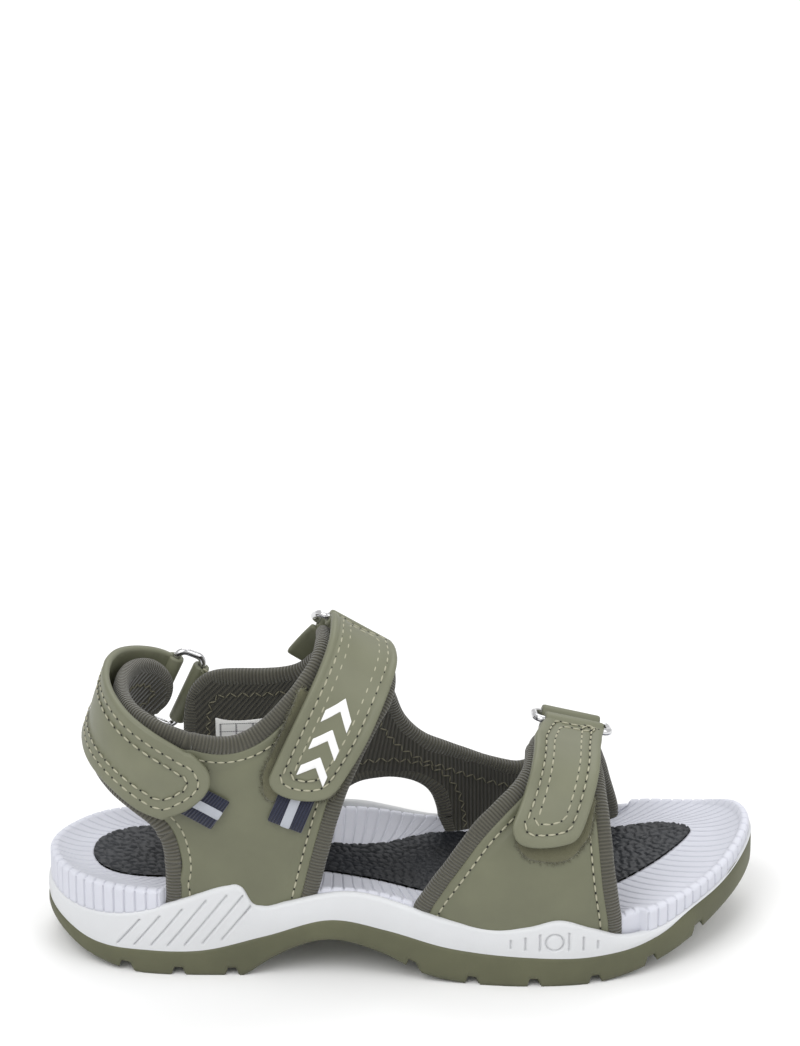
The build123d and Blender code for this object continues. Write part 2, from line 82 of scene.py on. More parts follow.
DAYLIGHT = 0.75
world = bpy.data.worlds.new("studio")
world.use_nodes = True
world.node_tree.nodes["Background"].inputs["Color"].default_value = (1.0, 1.0, 1.0, 1)
world.node_tree.nodes["Background"].inputs["Strength"].default_value = DAYLIGHT
scene.world = world
LIGHT_PANELS = {  # place and size in metres, watts
    "key": ((-0.9, -1.1, 1.9), 1.6, 26.0),
    "fill": ((1.3, -0.9, 1.4), 1.4, 11.0),
    "back": ((0.2, 1.4, 1.8), 1.6, 16.0),
}
for name, (place, size, watts) in LIGHT_PANELS.items():
    panel_light = bpy.data.lights.new(name, "AREA")
    panel_light.size = size
    panel_light.energy = watts
    lamp = bpy.data.objects.new(name, panel_light)
    scene.collection.objects.link(lamp)
    lamp.location = place
    lamp.rotation_euler = (SANDAL_MIDDLE - lamp.location).to_track_quat("-Z", "Y").to_euler()
scene.view_settings.view_transform = "Standard"

# ---------------------------------------------------------------- outsole
# Moulded olive rubber tread, cemented under the midsole. Its wall rises at the waist and over the toe,
# and its lugs are cut apart by slanted grooves that open through the side.
MM = 0.001
SOLE_PLAN = [
    (-108, 2), (-104, -12), (-93, -22.5), (-75, -28.5), (-45, -30.5), (-15, -33), (13, -37),
    (38, -40), (60, -38), (80, -29.5), (96, -15), (105, -1), (108, 12),
    (104, 25), (92, 34), (72, 39.2), (54, 40), (28, 35.5), (4, 29.5), (-20, 27.5), (-45, 27.5),
    (-70, 28.5), (-90, 25), (-103, 14.5),
]
GROUND = [(-110, 11), (-106, 8.6), (-100, 5.2), (-90, 1.8), (-79, 0), (-49, 0), (-40, 6.5), (-24, 13),
          (-8, 9.5), (5, 3), (20, 0), (56, 0), (72, 2.6), (88, 7.4), (100, 12.5), (108, 15.5)]
OUTSOLE_TOP = [(-110, 14), (-106, 12.6), (-96, 8.9), (-78, 8.2), (-60, 8.9), (-42, 14), (-22, 20),
               (-6, 17.2), (12, 12.4), (36, 10.2), (58, 9.5), (72, 11), (79, 13.2), (86, 17.0),
               (96, 20.1), (108, 26.2)]
TREAD_MIDDLE_Y = 3.0
TREAD_DEPTH = 2.6
TREAD_GROOVES = [-88, -73, -57, -4, 13, 31, 50, 69, 87]
GROOVE_SLANT, GROOVE_SHIFT = 0.28, 4.5  # a groove is a shallow V, its point this far behind its place
GROOVE_HALF_WIDTH, GROOVE_FLANK = 2.1, 0.7
SPINE_HALF_WIDTH, SPINE_FLANK = 2.0, 0.6  # the long groove that joins the others
SPINE_WANDER, SPINE_WAVE, SPINE_END = 5.0, 16.0, 92.0
WALL_PROFILE = [(0.0, 0.5), (0.12, 0.12), (0.3, 0.0), (0.6, 0.0), (0.9, 0.05), (1.0, 0.35)]  # up, in
RUBBER_OLIVE = (0.088, 0.090, 0.048)


def curve_value(points, x):
    """Height of a smooth profile through given points, at each x."""
    px, pz = np.array(points, float).T
    slope = np.gradient(pz, px)
    i = np.clip(np.searchsorted(px, x) - 1, 0, len(px) - 2)
    span = px[i + 1] - px[i]
    t = np.clip((x - px[i]) / span, 0, 1)
    return ((2 * t**3 - 3 * t**2 + 1) * pz[i] + (t**3 - 2 * t**2 + t) * span * slope[i]
            + (3 * t**2 - 2 * t**3) * pz[i + 1] + (t**3 - t**2) * span * slope[i + 1])


def ground_at(x):
    return np.maximum(curve_value(GROUND, x), 0)


def curve_span(a, b, c, d, t):
    """Points on the smooth span from b to c of a curve that also passes a and d."""
    return 0.5 * (2 * b + (c - a) * t + (2 * a - 5 * b + 4 * c - d) * t**2 + (3 * b - a - 3 * c + d) * t**3)


def run_along(points):
    """How far along a line each of its points lies."""
    return np.concatenate([[0], np.cumsum(np.linalg.norm(np.diff(points, axis=0), axis=1))])


def closed_curve(points, count):
    """Evenly spaced points on a smooth closed curve through given points, and how far along they are."""
    p = np.array(points, float)
    t = np.linspace(0, 1, 40, endpoint=False)[:, None]
    fine = np.concatenate([
        curve_span(a, b, c, d, t)
        for a, b, c, d in zip(np.roll(p, 1, 0), p, np.roll(p, -1, 0), np.roll(p, -2, 0))
    ])
    loop = np.vstack([fine, fine[:1]])
    run = run_along(loop)
    at = np.linspace(0, run[-1], count, endpoint=False)
    return np.column_stack([np.interp(at, run, loop[:, k]) for k in range(p.shape[1])]), at


def inset_loop(loop, by):
    """A plan loop moved inwards, with by in millimetres for each point."""
    ahead = np.roll(loop, -1, 0) - np.roll(loop, 1, 0)
    ahead /= np.linalg.norm(ahead, axis=1)[:, None]
    return loop + np.column_stack([-ahead[:, 1], ahead[:, 0]]) * np.asarray(by).reshape(-1, 1)


def level(loop, by, height):
    """One closed row of points: a plan loop moved inwards and set at a height."""
    return np.column_stack([inset_loop(loop, by), height])


def piece(name, points, faces, body, material):
    """A mesh piece from points in millimetres, riding on its body."""
    mesh = bpy.data.meshes.new(name)
    mesh.from_pydata((np.asarray(points, float) * MM).tolist(), [], faces)
    mesh.materials.append(material)
    mesh.polygons.foreach_set("use_smooth", [True] * len(mesh.polygons))
    mesh.update()
    made = bpy.data.objects.new(name, mesh)
    scene.collection.objects.link(made)
    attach(made, body)
    return made


def ring_faces(rows, count):
    """Quads joining closed rows of count points each, one row after the next."""
    return [
        (r * count + i, r * count + (i + 1) % count, (r + 1) * count + (i + 1) % count, (r + 1) * count + i)
        for r in range(rows - 1) for i in range(count)
    ]


def node(tree, kind, **inputs):
    """A node with its inputs set, a space in an input's name being written as an underscore."""
    made = tree.nodes.new(kind)
    for name, value in inputs.items():
        made.inputs[name.replace("_", " ")].default_value = value
    return made


def join(tree, *sockets):
    """Joins each pair of sockets."""
    for source, target in sockets:
        tree.links.new(source, target)


def surface_material(name, colour, roughness, grain_size, grain_depth, shade=0.12, sheen=0.0):
    """A moulded or coated surface: fine grain in the bump, and a slow drift of shade in the colour."""
    made = bpy.data.materials.new(name)
    made.use_nodes = True
    tree = made.node_tree
    shader = tree.nodes["Principled BSDF"]
    shader.inputs["Roughness"].default_value = roughness
    shader.inputs["Sheen Weight"].default_value = sheen
    place = node(tree, "ShaderNodeTexCoord").outputs["Object"]
    drift = node(tree, "ShaderNodeTexNoise", Scale=60.0, Detail=4.0)
    tones = node(tree, "ShaderNodeValToRGB")
    for tone, position, change in zip(tones.color_ramp.elements, (0.3, 0.7), (-shade, shade)):
        tone.position = position
        tone.color = (*(min(c * (1 + change), 1) for c in colour), 1)
    grain = node(tree, "ShaderNodeTexNoise", Scale=1 / (grain_size * MM), Detail=3.0)
    bump = node(tree, "ShaderNodeBump", Strength=0.6, Distance=grain_depth * MM)
    join(tree, (place, drift.inputs["Vector"]), (place, grain.inputs["Vector"]),
         (drift.outputs["Fac"], tones.inputs["Fac"]), (tones.outputs["Color"], shader.inputs["Base Color"]),
         (grain.outputs["Fac"], bump.inputs["Height"]), (bump.outputs["Normal"], shader.inputs["Normal"]))
    return made


rubber = surface_material("olive_rubber", RUBBER_OLIVE, 0.62, 0.5, 0.10)
WALL_COUNT = 1300
SOLE_RINGS = 34
wall, _ = closed_curve(SOLE_PLAN, WALL_COUNT)


def tread(x, y):
    """How far the tread's grooves cut up from the ground at each point."""
    aside = y - TREAD_MIDDLE_Y
    cut = np.zeros_like(x)
    for groove in TREAD_GROOVES:
        off = np.abs(x - groove - GROOVE_SLANT * np.abs(aside) + GROOVE_SHIFT)
        cut = np.maximum(cut, np.clip((GROOVE_HALF_WIDTH - off) / GROOVE_FLANK, 0, 1))
    wander = SPINE_WANDER * np.sin(x / SPINE_WAVE)
    spine = np.clip((SPINE_HALF_WIDTH - np.abs(aside - wander)) / SPINE_FLANK, 0, 1) * (np.abs(x) < SPINE_END)
    return TREAD_DEPTH * np.maximum(cut, spine)


rows = []
keel = np.column_stack([np.clip(wall[:, 0], -78, 74), 1.0 + np.clip(wall[:, 0], 0, 80) * 0.04])
for part_in in np.linspace(1.0, 0.0, SOLE_RINGS)[:-1]:
    flat = wall * (1 - part_in) + keel * part_in
    rows.append(np.column_stack([flat, ground_at(flat[:, 0]) + tread(flat[:, 0], flat[:, 1])]))
notched = ground_at(wall[:, 0]) + tread(wall[:, 0], wall[:, 1])
top = curve_value(OUTSOLE_TOP, wall[:, 0])
for share, step_in in WALL_PROFILE:
    rows.append(level(wall, step_in, notched + (top - notched) * share))
for step_in in (2.6, 5.0):
    rows.append(level(wall, step_in, top - 0.3))
faces = ring_faces(len(rows), WALL_COUNT)
outsole = piece("outsole_rubber", np.concatenate(rows), [f[::-1] for f in faces], "root", rubber)
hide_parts("outsole")

# ---------------------------------------------------------------- midsole
# White moulded foam that carries the foot. Its wall sweeps up beside the heel and the ball of the foot,
# and slanted ribs and short ticks are engraved in its outer side.
MIDSOLE_TOP = [(-110, 20.5), (-104, 18.8), (-97, 18.4), (-84, 20), (-66, 26), (-53.5, 30.4),
               (-50.5, 30.7), (-49, 29.8), (-46, 24.6), (-43, 23.6), (-36, 25), (-26, 27.8), (-18, 29),
               (-9, 27.9), (-4, 26.4), (12, 21.2), (28, 18.8), (37, 20), (46, 21.9), (56, 18.5),
               (66, 14.6), (76, 14.6), (88, 18), (98, 21), (109, 27)]
LIP = 3.0
FOAM_WHITE = (0.60, 0.61, 0.625)
ENGRAVING_DEPTH = 0.8
HEEL_RIB_X, HEEL_RIB_Z = -85.0, 12  # where the hindmost rib starts
HEEL_RIB_SLANT, HEEL_RIB_PITCH, HEEL_RIB_HALF_WIDTH = 0.75, 4.9, 0.38
LAST_HEEL_RIB = 6  # counted from nought
TICK_X, TICK_PITCH, TICK_HALF_WIDTH = 44.5, 4.4, 0.36
TICKS_EACH_SIDE = 3
TICK_RING_Z, TICK_RING_RADIUS = 15.2, 2.7
midsole_foam = surface_material("midsole_foam", FOAM_WHITE, 0.55, 0.6, 0.05, shade=0.02)


def engraving(x, y, z, share):
    """Depth cut into the wall's outer side: slanted ribs at the heel, a ring between ticks at the ball."""
    along = (x - HEEL_RIB_X - HEEL_RIB_SLANT * (z - HEEL_RIB_Z)) / HEEL_RIB_PITCH
    rib = np.round(along)
    line = np.clip(1.2 - np.abs(along - rib) * HEEL_RIB_PITCH / HEEL_RIB_HALF_WIDTH, 0, 1)
    line = line * (rib >= 0) * (rib <= LAST_HEEL_RIB) * (share > 0.12) * (share < 0.80 + 0.02 * rib)
    tick_at = (x - TICK_X) / TICK_PITCH
    from_ring = np.abs(np.round(tick_at))
    tick = np.clip(1.2 - np.abs(tick_at - np.round(tick_at)) * TICK_PITCH / TICK_HALF_WIDTH, 0, 1)
    tick *= (from_ring >= 1) * (from_ring <= TICKS_EACH_SIDE)
    tick *= np.abs(share - 0.5) < 0.30 - 0.04 * from_ring
    ring_off = np.abs(np.hypot(x - TICK_X, z - TICK_RING_Z) - TICK_RING_RADIUS)
    ring = np.clip(1.2 - ring_off / TICK_HALF_WIDTH, 0, 1)
    return ENGRAVING_DEPTH * np.maximum(np.maximum(line, tick), ring) * (y < 0)


FINE_COUNT = 2200
fine_wall, fine_run = closed_curve(SOLE_PLAN, FINE_COUNT)
foot_of_wall = curve_value(OUTSOLE_TOP, fine_wall[:, 0]) - 0.2
head_of_wall = curve_value(MIDSOLE_TOP, fine_wall[:, 0])
rows = []
for share in np.linspace(0, 1, 36):
    height = foot_of_wall + (head_of_wall - foot_of_wall) * share
    bulge = 0.35 * np.sin(math.pi * share) - 0.5 * np.clip((share - 0.93) / 0.07, 0, 1) ** 2
    cut = engraving(fine_wall[:, 0], fine_wall[:, 1], height, share)
    rows.append(level(fine_wall, 0.35 - bulge + cut, height))
for step_in, drop in ((1.3, -0.25), (2.2, -0.1), (LIP, 0.3), (LIP + 0.2, 3.0)):
    rows.append(level(fine_wall, step_in, head_of_wall - drop))
rows.append(level(fine_wall, LIP + 0.2, foot_of_wall - 0.2))
rows.append(rows[0])
midsole = piece("midsole_wall", np.concatenate(rows), ring_faces(len(rows), FINE_COUNT), "root", midsole_foam)
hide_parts("midsole", "lasting_board")

# ---------------------------------------------------------------- footbed
# Pale lilac foam footbed dropped into the midsole, dished for the heel and toes. Fine grooves run in
# from its rim, and at the heel and toe the rim covers the midsole's edge and shows as part of the wall.
FOOTBED_RIM = [(-110, 29), (-96, 28.8), (-76, 28.4), (-30, 28.6), (-12, 28), (11, 22.6), (30, 19.4),
               (56, 19.2), (76, 21.8), (96, 24.8), (109, 30.5)]
FOOTBED_FLOOR = [(-110, 26.6), (-80, 26), (-45, 25.4), (-10, 21.8), (15, 18.4), (42, 16), (60, 16.2),
                 (80, 19), (98, 23), (109, 26)]
INSET_PLAN = [(-94, 1.5), (-90, -9), (-78, -14), (-55, -13.5), (-30, -8.5), (-10, -10.5), (12, -16),
              (36, -17.5), (58, -11), (76, 1), (88, 13.5), (89, 20), (80, 26), (60, 27), (36, 25),
              (12, 22.5), (-8, 11), (-30, 9.5), (-55, 14.5), (-78, 16.5), (-90, 11.5)]
FOOTBED_LILAC = (0.58, 0.59, 0.65)
RIM_GROOVE_PITCH, RIM_GROOVE_DEPTH, RIM_GROOVE_HALF_WIDTH = 3.5, 0.65, 0.32
RIM_COVERS_BEHIND, RIM_COVERS_AHEAD = -72.5, 72.0  # past these x, the rim covers the midsole's wall
RIM_COVERS_EASE = 1.5
RIM_ROUNDING = [(0.25, 0.45), (0.7, 0.12), (1.3, 0.0), (2.2, 0.0)]  # step in, drop
footbed_foam = surface_material("footbed_foam", FOOTBED_LILAC, 0.75, 0.4, 0.06, shade=0.02)
inner_edge, _ = closed_curve(INSET_PLAN, FINE_COUNT)
inner_edge = np.roll(inner_edge, -np.argmin(inner_edge[:, 0]), 0)
outer = np.roll(fine_wall, -np.argmin(fine_wall[:, 0]), 0)
groove_count = round(fine_run[-1] / RIM_GROOVE_PITCH)
groove_at = np.arange(FINE_COUNT) / FINE_COUNT * groove_count
groove_off = np.abs(groove_at - np.round(groove_at)) * RIM_GROOVE_PITCH
groove = np.clip(1.25 - groove_off / RIM_GROOVE_HALF_WIDTH, 0, 1) * RIM_GROOVE_DEPTH
x = outer[:, 0]
covers = np.clip(np.maximum(RIM_COVERS_BEHIND - x, x - RIM_COVERS_AHEAD) / RIM_COVERS_EASE, 0, 1)
edge_in = 0.8 * covers + (LIP + 0.3) * (1 - covers)
rim = curve_value(FOOTBED_RIM, x)
lip_top = curve_value(MIDSOLE_TOP, x)
seam = lip_top * covers + np.minimum(rim - 5.0, lip_top - 2.0) * (1 - covers) + 0.05
rows = [level(outer, edge_in + 1.2, np.minimum(seam, rim) - 0.6)]
for share in np.linspace(0, 1, 12):
    height = seam + (rim - 1.0 - seam) * share
    rows.append(level(outer, edge_in + groove * covers, height))
for step_in, drop in RIM_ROUNDING:
    rows.append(level(outer, edge_in + step_in, rim - drop - groove * 0.9))
start = inset_loop(outer, edge_in + RIM_ROUNDING[-1][0])
for part_in in np.linspace(0, 1, 24)[1:]:
    flat = start * (1 - part_in) + inner_edge * part_in
    floor_here = curve_value(FOOTBED_FLOOR, flat[:, 0])
    rim_here = curve_value(FOOTBED_RIM, flat[:, 0])
    ease = 1 - (1 - min(part_in * 1.15, 1)) ** 2
    fade = groove * (0.9 if part_in < 0.93 else 0.3)
    rows.append(np.column_stack([flat, rim_here + (floor_here - rim_here) * ease - fade]))
for drop in (0.5, 1.6):
    rows.append(np.column_stack([inner_edge, curve_value(FOOTBED_FLOOR, inner_edge[:, 0]) - drop]))
footbed = piece("footbed_foam", np.concatenate(rows), ring_faces(len(rows), FINE_COUNT), "root", footbed_foam)
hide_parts("footbed")

# ---------------------------------------------------------------- footbed inset
# Charcoal foam pad let into the footbed, moulded all over with low irregular pebbles for grip.
PEBBLE_SIZE = 2.5
PEBBLE_HEIGHT = 0.95
CHARCOAL = (0.010, 0.012, 0.016)
charcoal_foam = surface_material("charcoal_foam", CHARCOAL, 0.5, 0.3, 0.05, shade=0.3)


def points_inside(points, loop):
    """Which points lie inside a closed plan, by counting crossings."""
    x0, y0 = loop[:, 0], loop[:, 1]
    x1, y1 = np.roll(x0, -1), np.roll(y0, -1)
    inside = np.zeros(len(points), bool)
    for chunk in np.array_split(np.arange(len(points)), max(1, len(points) // 4000)):
        px, py = points[chunk, 0][:, None], points[chunk, 1][:, None]
        crosses = (y0 > py) != (y1 > py)
        rise = np.where(y1 == y0, 1e-12, y1 - y0)
        inside[chunk] = (crosses & (px < (x1 - x0) * (py - y0) / rise + x0)).sum(1) % 2 == 1
    return inside


def grid_inside(loop, spacing, shift=(0.0, 0.0)):
    """An even grid of points inside a closed plan."""
    low, high = loop.min(0), loop.max(0)
    gx, gy = np.meshgrid(np.arange(low[0], high[0], spacing), np.arange(low[1], high[1], spacing))
    grid = np.column_stack([gx.ravel() + shift[0], gy.ravel() + shift[1]])
    return grid[points_inside(grid, loop)]


def gap_to(loop, points):
    """Distance from each point to the nearest point of a closed plan."""
    return np.concatenate([np.min(np.linalg.norm(part[:, None] - loop[None], axis=2), axis=1)
                           for part in np.array_split(points, max(1, len(points) // 2000))])


def fill_plan(loop, grid, mode, within):
    """Points and triangles over a closed plan and the grid inside it."""
    edges = [(i, (i + 1) % len(loop)) for i in range(len(loop))]
    filled = delaunay_2d_cdt([Vector(p) for p in np.vstack([loop, grid])], edges, [], mode, within)
    return np.array([tuple(p) for p in filled[0]]), np.array([tuple(t) for t in filled[2]])


def pebbles(points):
    """Height of a field of irregular pebbles, from the two nearest of a jittered grid of centres."""
    stone = np.random.default_rng(7)
    cell = np.floor(points / PEBBLE_SIZE).astype(int)
    low = cell.min(0) - 2
    size = cell.max(0) - low + 3
    jitter = stone.random((size[0], size[1], 2)) * 0.85
    best = np.full((len(points), 2), 1e9)
    for i in (-1, 0, 1):
        for j in (-1, 0, 1):
            near = cell + (i, j)
            centre = (near + jitter[near[:, 0] - low[0], near[:, 1] - low[1]]) * PEBBLE_SIZE
            gap = np.linalg.norm((points - centre) * (1.0, 1.25), axis=1)
            closer = gap < best[:, 0]
            best[:, 1] = np.where(closer, best[:, 0], np.minimum(best[:, 1], gap))
            best[:, 0] = np.where(closer, gap, best[:, 0])
    return PEBBLE_HEIGHT * np.clip((best[:, 1] - best[:, 0]) / 0.55, 0, 1) ** 0.6


PAD_EDGE_COUNT = 700
PAD_SPACING = 0.5
PAD_SUNK = 0.35
pad_loop, _ = closed_curve(INSET_PLAN, PAD_EDGE_COUNT)
pad_grid = grid_inside(pad_loop, PAD_SPACING)
pad_grid = pad_grid[gap_to(pad_loop[::6], pad_grid) > PAD_SPACING * 0.55]
pad_flat, pad_faces = fill_plan(pad_loop, pad_grid, 1, 1e-5)
pad_height = curve_value(FOOTBED_FLOOR, pad_flat[:, 0]) - PAD_SUNK + pebbles(pad_flat)
pad_points = np.column_stack([pad_flat, pad_height])
pad = piece("footbed_inset_pad", pad_points, pad_faces.tolist(), "root", charcoal_foam)
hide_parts("footbed_inset")

# ---------------------------------------------------------------- outer quarter
# The heel piece on the outer side: an olive coated cover stitched over foam, edged with a padded roll of
# ribbed knit. It rises from the sole, runs round the heel and ends in a short lobe on the inner side.
STATIONS = [  # fan in degrees, x, crest, widest, far, outer half width, inner half width
    (74, 10, 54, 76, 97, 22.5, 21.5), (64, 10, 52.5, 80, 104, 24, 23), (56, 10, 51.5, 87, 120, 25.5, 24.5),
    (49, 10, 51, 100, 143.5, 27, 26), (41, 10, 50.8, 128, 166, 27, 26), (30, 10, 51.2, 131, 156, 27.8, 25.5),
    (17, 10, 52, 119, 141, 29.6, 25.2), (0, 10, 58, 117, 135, 34, 27.6), (0, 26, 68.5, 120, 136, 37, 32.2),
    (0, 44, 77.8, 122, 137, 37.4, 36.4), (0, 62, 82.4, 123, 137, 35, 36.2), (0, 82, 88, 122, 136, 26, 33),
]
PIVOT_X, PIVOT_Z = 10.0, 140.0
MM_PER_WAY = 1.5  # one unit of way is a degree of fan behind the pivot, and this far in x ahead of it
CREST_POWER, FAR_POWER = 2.5, 2.2
CAVITY_FLOOR = [(-110, 17), (-100, 14), (-80, 12.8), (-55, 13.4), (-38, 16), (-22, 18), (-6, 16), (12, 12.8),
                (36, 11.2), (58, 11), (74, 12.8), (88, 16), (100, 20)]
QUARTER_COLLAR = [(-125, 86.5), (-104, 87), (-92, 87), (-80, 85.4), (-67, 81.9), (-53, 78.5), (-46, 79.8),
                  (-40, 84.2), (-34, 90), (-29, 95.3), (-25, 100.5), (-22.5, 108)]
QUARTER_FRONT = [(0.5, 96), (-2.2, 86.4), (-7.3, 79.5), (-12.8, 70.3), (-18, 58.4), (-22.6, 42.4),
                 (-26.3, 26.9)]
QUARTER_REAR = [(-72, 24.2), (-72, 36.3), (-73, 44.6), (-76.5, 50.7), (-85, 56), (-93, 60), (-101, 62),
                (-125, 62.5)]
HEEL_LOBE = [(-125, 62.5), (-101, 62), (-93, 61.2), (-86, 60.5), (-78, 61), (-71.5, 64.5), (-69.3, 70),
             (-70.5, 76), (-75, 81.5), (-82, 85.2), (-92, 87), (-104, 87), (-125, 86.5)]
SOLE_TUCK = 5.0  # how far below the cavity's floor a panel's outline is drawn, before it is tucked in
ROLL_WIDTH, ROLL_THICK = 5.6, 4.5
ROLL_MIDDLE = -1.85  # the roll's middle against the last, so that it stands a little proud of it
ROLL_SIDES = 20
LINING = (-4.0, -2.0)  # heights from the last
COVER = (-1.6, 0.25)
RIB_PITCH = 1.05
STITCH_PITCH = 3.0
STITCH_SIZE = (2.35, 0.62, 0.5)
NEEDLE_HOLE_SIZE = (0.75, 0.6, 0.3)
ZIGZAG_PITCH, ZIGZAG_SWING = 1.9, 0.9
ZIGZAG_SIZE = (2.4, 0.42, 0.4)
PUFF_EASE = 6.0  # a cover's puff is full this far in from its seam
SEAM_SINK, SEAM_HALF_WIDTH = 0.35, 0.8
CHART_SCALE = (1.7, 34.0)  # millimetres for one unit of way and one radian of turn, for even triangles
OLIVE = (0.128, 0.132, 0.082)
STRAP_OLIVE = (0.148, 0.152, 0.098)
TAUPE = (0.088, 0.084, 0.062)
DARK_KNIT = (0.062, 0.059, 0.043)
THREAD = (0.34, 0.33, 0.24)
station_way = np.array([-s[0] if s[0] else (s[1] - PIVOT_X) / MM_PER_WAY for s in STATIONS])


def last_shape(way):
    """Crest, widest and far distances from the pivot, and the two half widths, along the last."""
    return [curve_value(list(zip(station_way, [s[k] for s in STATIONS])), way) for k in range(2, 7)]


def last_base(way, turn):
    """Points of the last. Turn runs from the crest over the outer side to the far end and back up inside."""
    crest, wide, far, outer_half, inner_half = last_shape(way)
    turn = np.mod(turn, 2 * math.pi)
    by_crest = np.cos(turn) > 0
    power = np.where(by_crest, CREST_POWER, FAR_POWER)
    reach = wide + (np.where(by_crest, crest, far) - wide) * np.abs(np.cos(turn)) ** (2 / power)
    across = np.where(turn <= math.pi, -outer_half, inner_half) * np.abs(np.sin(turn)) ** (2 / power)
    fan = np.radians(np.maximum(-way, 0))
    x = PIVOT_X + MM_PER_WAY * np.maximum(way, 0) - reach * np.sin(fan)
    return np.stack([x, across, PIVOT_Z - reach * np.cos(fan)], -1)


def unit(vectors):
    return vectors / np.maximum(np.linalg.norm(vectors, axis=-1, keepdims=True), 1e-9)


def last_frame(chart):
    """Point, two surface directions and the outward normal of the last at each (way, turn)."""
    way, turn = chart[:, 0], chart[:, 1]
    along = (last_base(way + 0.4, turn) - last_base(way - 0.4, turn)) / 0.8
    around = (last_base(way, turn + 0.03) - last_base(way, turn - 0.03)) / 0.06
    return last_base(way, turn), along, around, unit(np.cross(around, along))


def last_point(chart, out):
    point, _, _, normal = last_frame(chart)
    return point + normal * np.asarray(out).reshape(-1, 1)


def open_curve(points):
    """Fine points on a smooth open curve through given points."""
    p = np.array(points, float)
    p = np.vstack([2 * p[0] - p[1], p, 2 * p[-1] - p[-2]])
    t = np.linspace(0, 1, 24, endpoint=False)[:, None]
    return np.vstack([curve_span(*four, t) for four in zip(p, p[1:], p[2:], p[3:])] + [p[-2:-1]])


def on_last(side, points):
    """Side-view points laid onto one side of the last, as (way, turn). Crest points carry their y too."""
    flat = open_curve(points)
    back = np.maximum(PIVOT_X - flat[:, 0], 0)
    way = np.where(flat[:, 0] < PIVOT_X, -np.degrees(np.arctan2(back, PIVOT_Z - flat[:, 1])),
                   (flat[:, 0] - PIVOT_X) / MM_PER_WAY)
    crest, wide, far, outer_half, inner_half = last_shape(way)
    if side == "crest":
        return np.column_stack([way, -np.arcsin(np.clip(flat[:, 2] / inner_half, 0, 1) ** (CREST_POWER / 2))])
    reach = np.hypot(back, PIVOT_Z - flat[:, 1])
    by_crest = reach < wide
    power = np.where(by_crest, CREST_POWER, FAR_POWER)
    share = (reach - wide) / (np.where(by_crest, crest, far) - wide)
    turn = np.arccos(np.clip(share, 0, 1) ** (power / 2))
    turn = np.where(by_crest, turn, math.pi - turn)
    laid = np.column_stack([way, {"outer": turn, "inner": -turn, "inner_heel": 2 * math.pi - turn}[side]])
    return laid[share < 1]


def even_loop(chart, spacing=0.8, soften=3):
    """A closed line on the last with even steps in millimetres, its corners a little softened."""
    loop = np.vstack([chart, chart[:1]])
    run = run_along(last_base(*loop.T))
    at = np.linspace(0, run[-1], max(12, int(run[-1] / spacing)), endpoint=False)
    even = np.column_stack([np.interp(at, run, loop[:, k]) for k in (0, 1)])
    for _ in range(soften):
        even = (np.roll(even, 1, 0) + 2 * even + np.roll(even, -1, 0)) / 4
    return even


def outline(*runs, spacing=0.8, soften=3):
    """A closed outline on the last, from runs of (side, points)."""
    return even_loop(np.vstack([on_last(side, points) for side, points in runs]), spacing, soften)


def inward_of(chart):
    """Point, inward direction, normal, two surface directions and line direction on a closed line."""
    point, along, around, normal = last_frame(chart)
    ahead = unit(np.roll(point, -1, 0) - np.roll(point, 1, 0))
    x, y = chart.T
    area = np.sum(x * np.roll(y, -1) - np.roll(x, -1) * y)
    return point, np.cross(normal, ahead) * -np.sign(area), normal, along, around, ahead


def moved_in(chart, by):
    """A closed line on the last moved inwards over its surface."""
    steps = max(1, round(abs(by) / 1.1))
    for turn_round in range(steps):
        if turn_round:
            chart = even_loop(chart, 0.8, 2)
        _, inward, _, along, around, _ = inward_of(chart)
        aa, ab, bb = (np.sum(p * q, 1) for p, q in ((along, along), (along, around), (around, around)))
        ia, ib = np.sum(inward * along, 1), np.sum(inward * around, 1)
        split = aa * bb - ab * ab
        step = np.column_stack([(ia * bb - ib * ab) / split, (ib * aa - ia * ab) / split])
        chart = chart + step * by / steps
        chart = (np.roll(chart, 1, 0) + 4 * chart + np.roll(chart, -1, 0)) / 6
    return chart


def weave(made, values):
    """Keeps where each point lies in the cloth, in metres, for its weave to follow."""
    kept = made.data.attributes.new("weave", "FLOAT_VECTOR", "POINT")
    flat = np.zeros((len(values), 3), np.float32)
    flat[:, :2] = np.asarray(values)[:, :2] * MM
    kept.data.foreach_set("vector", flat.ravel())


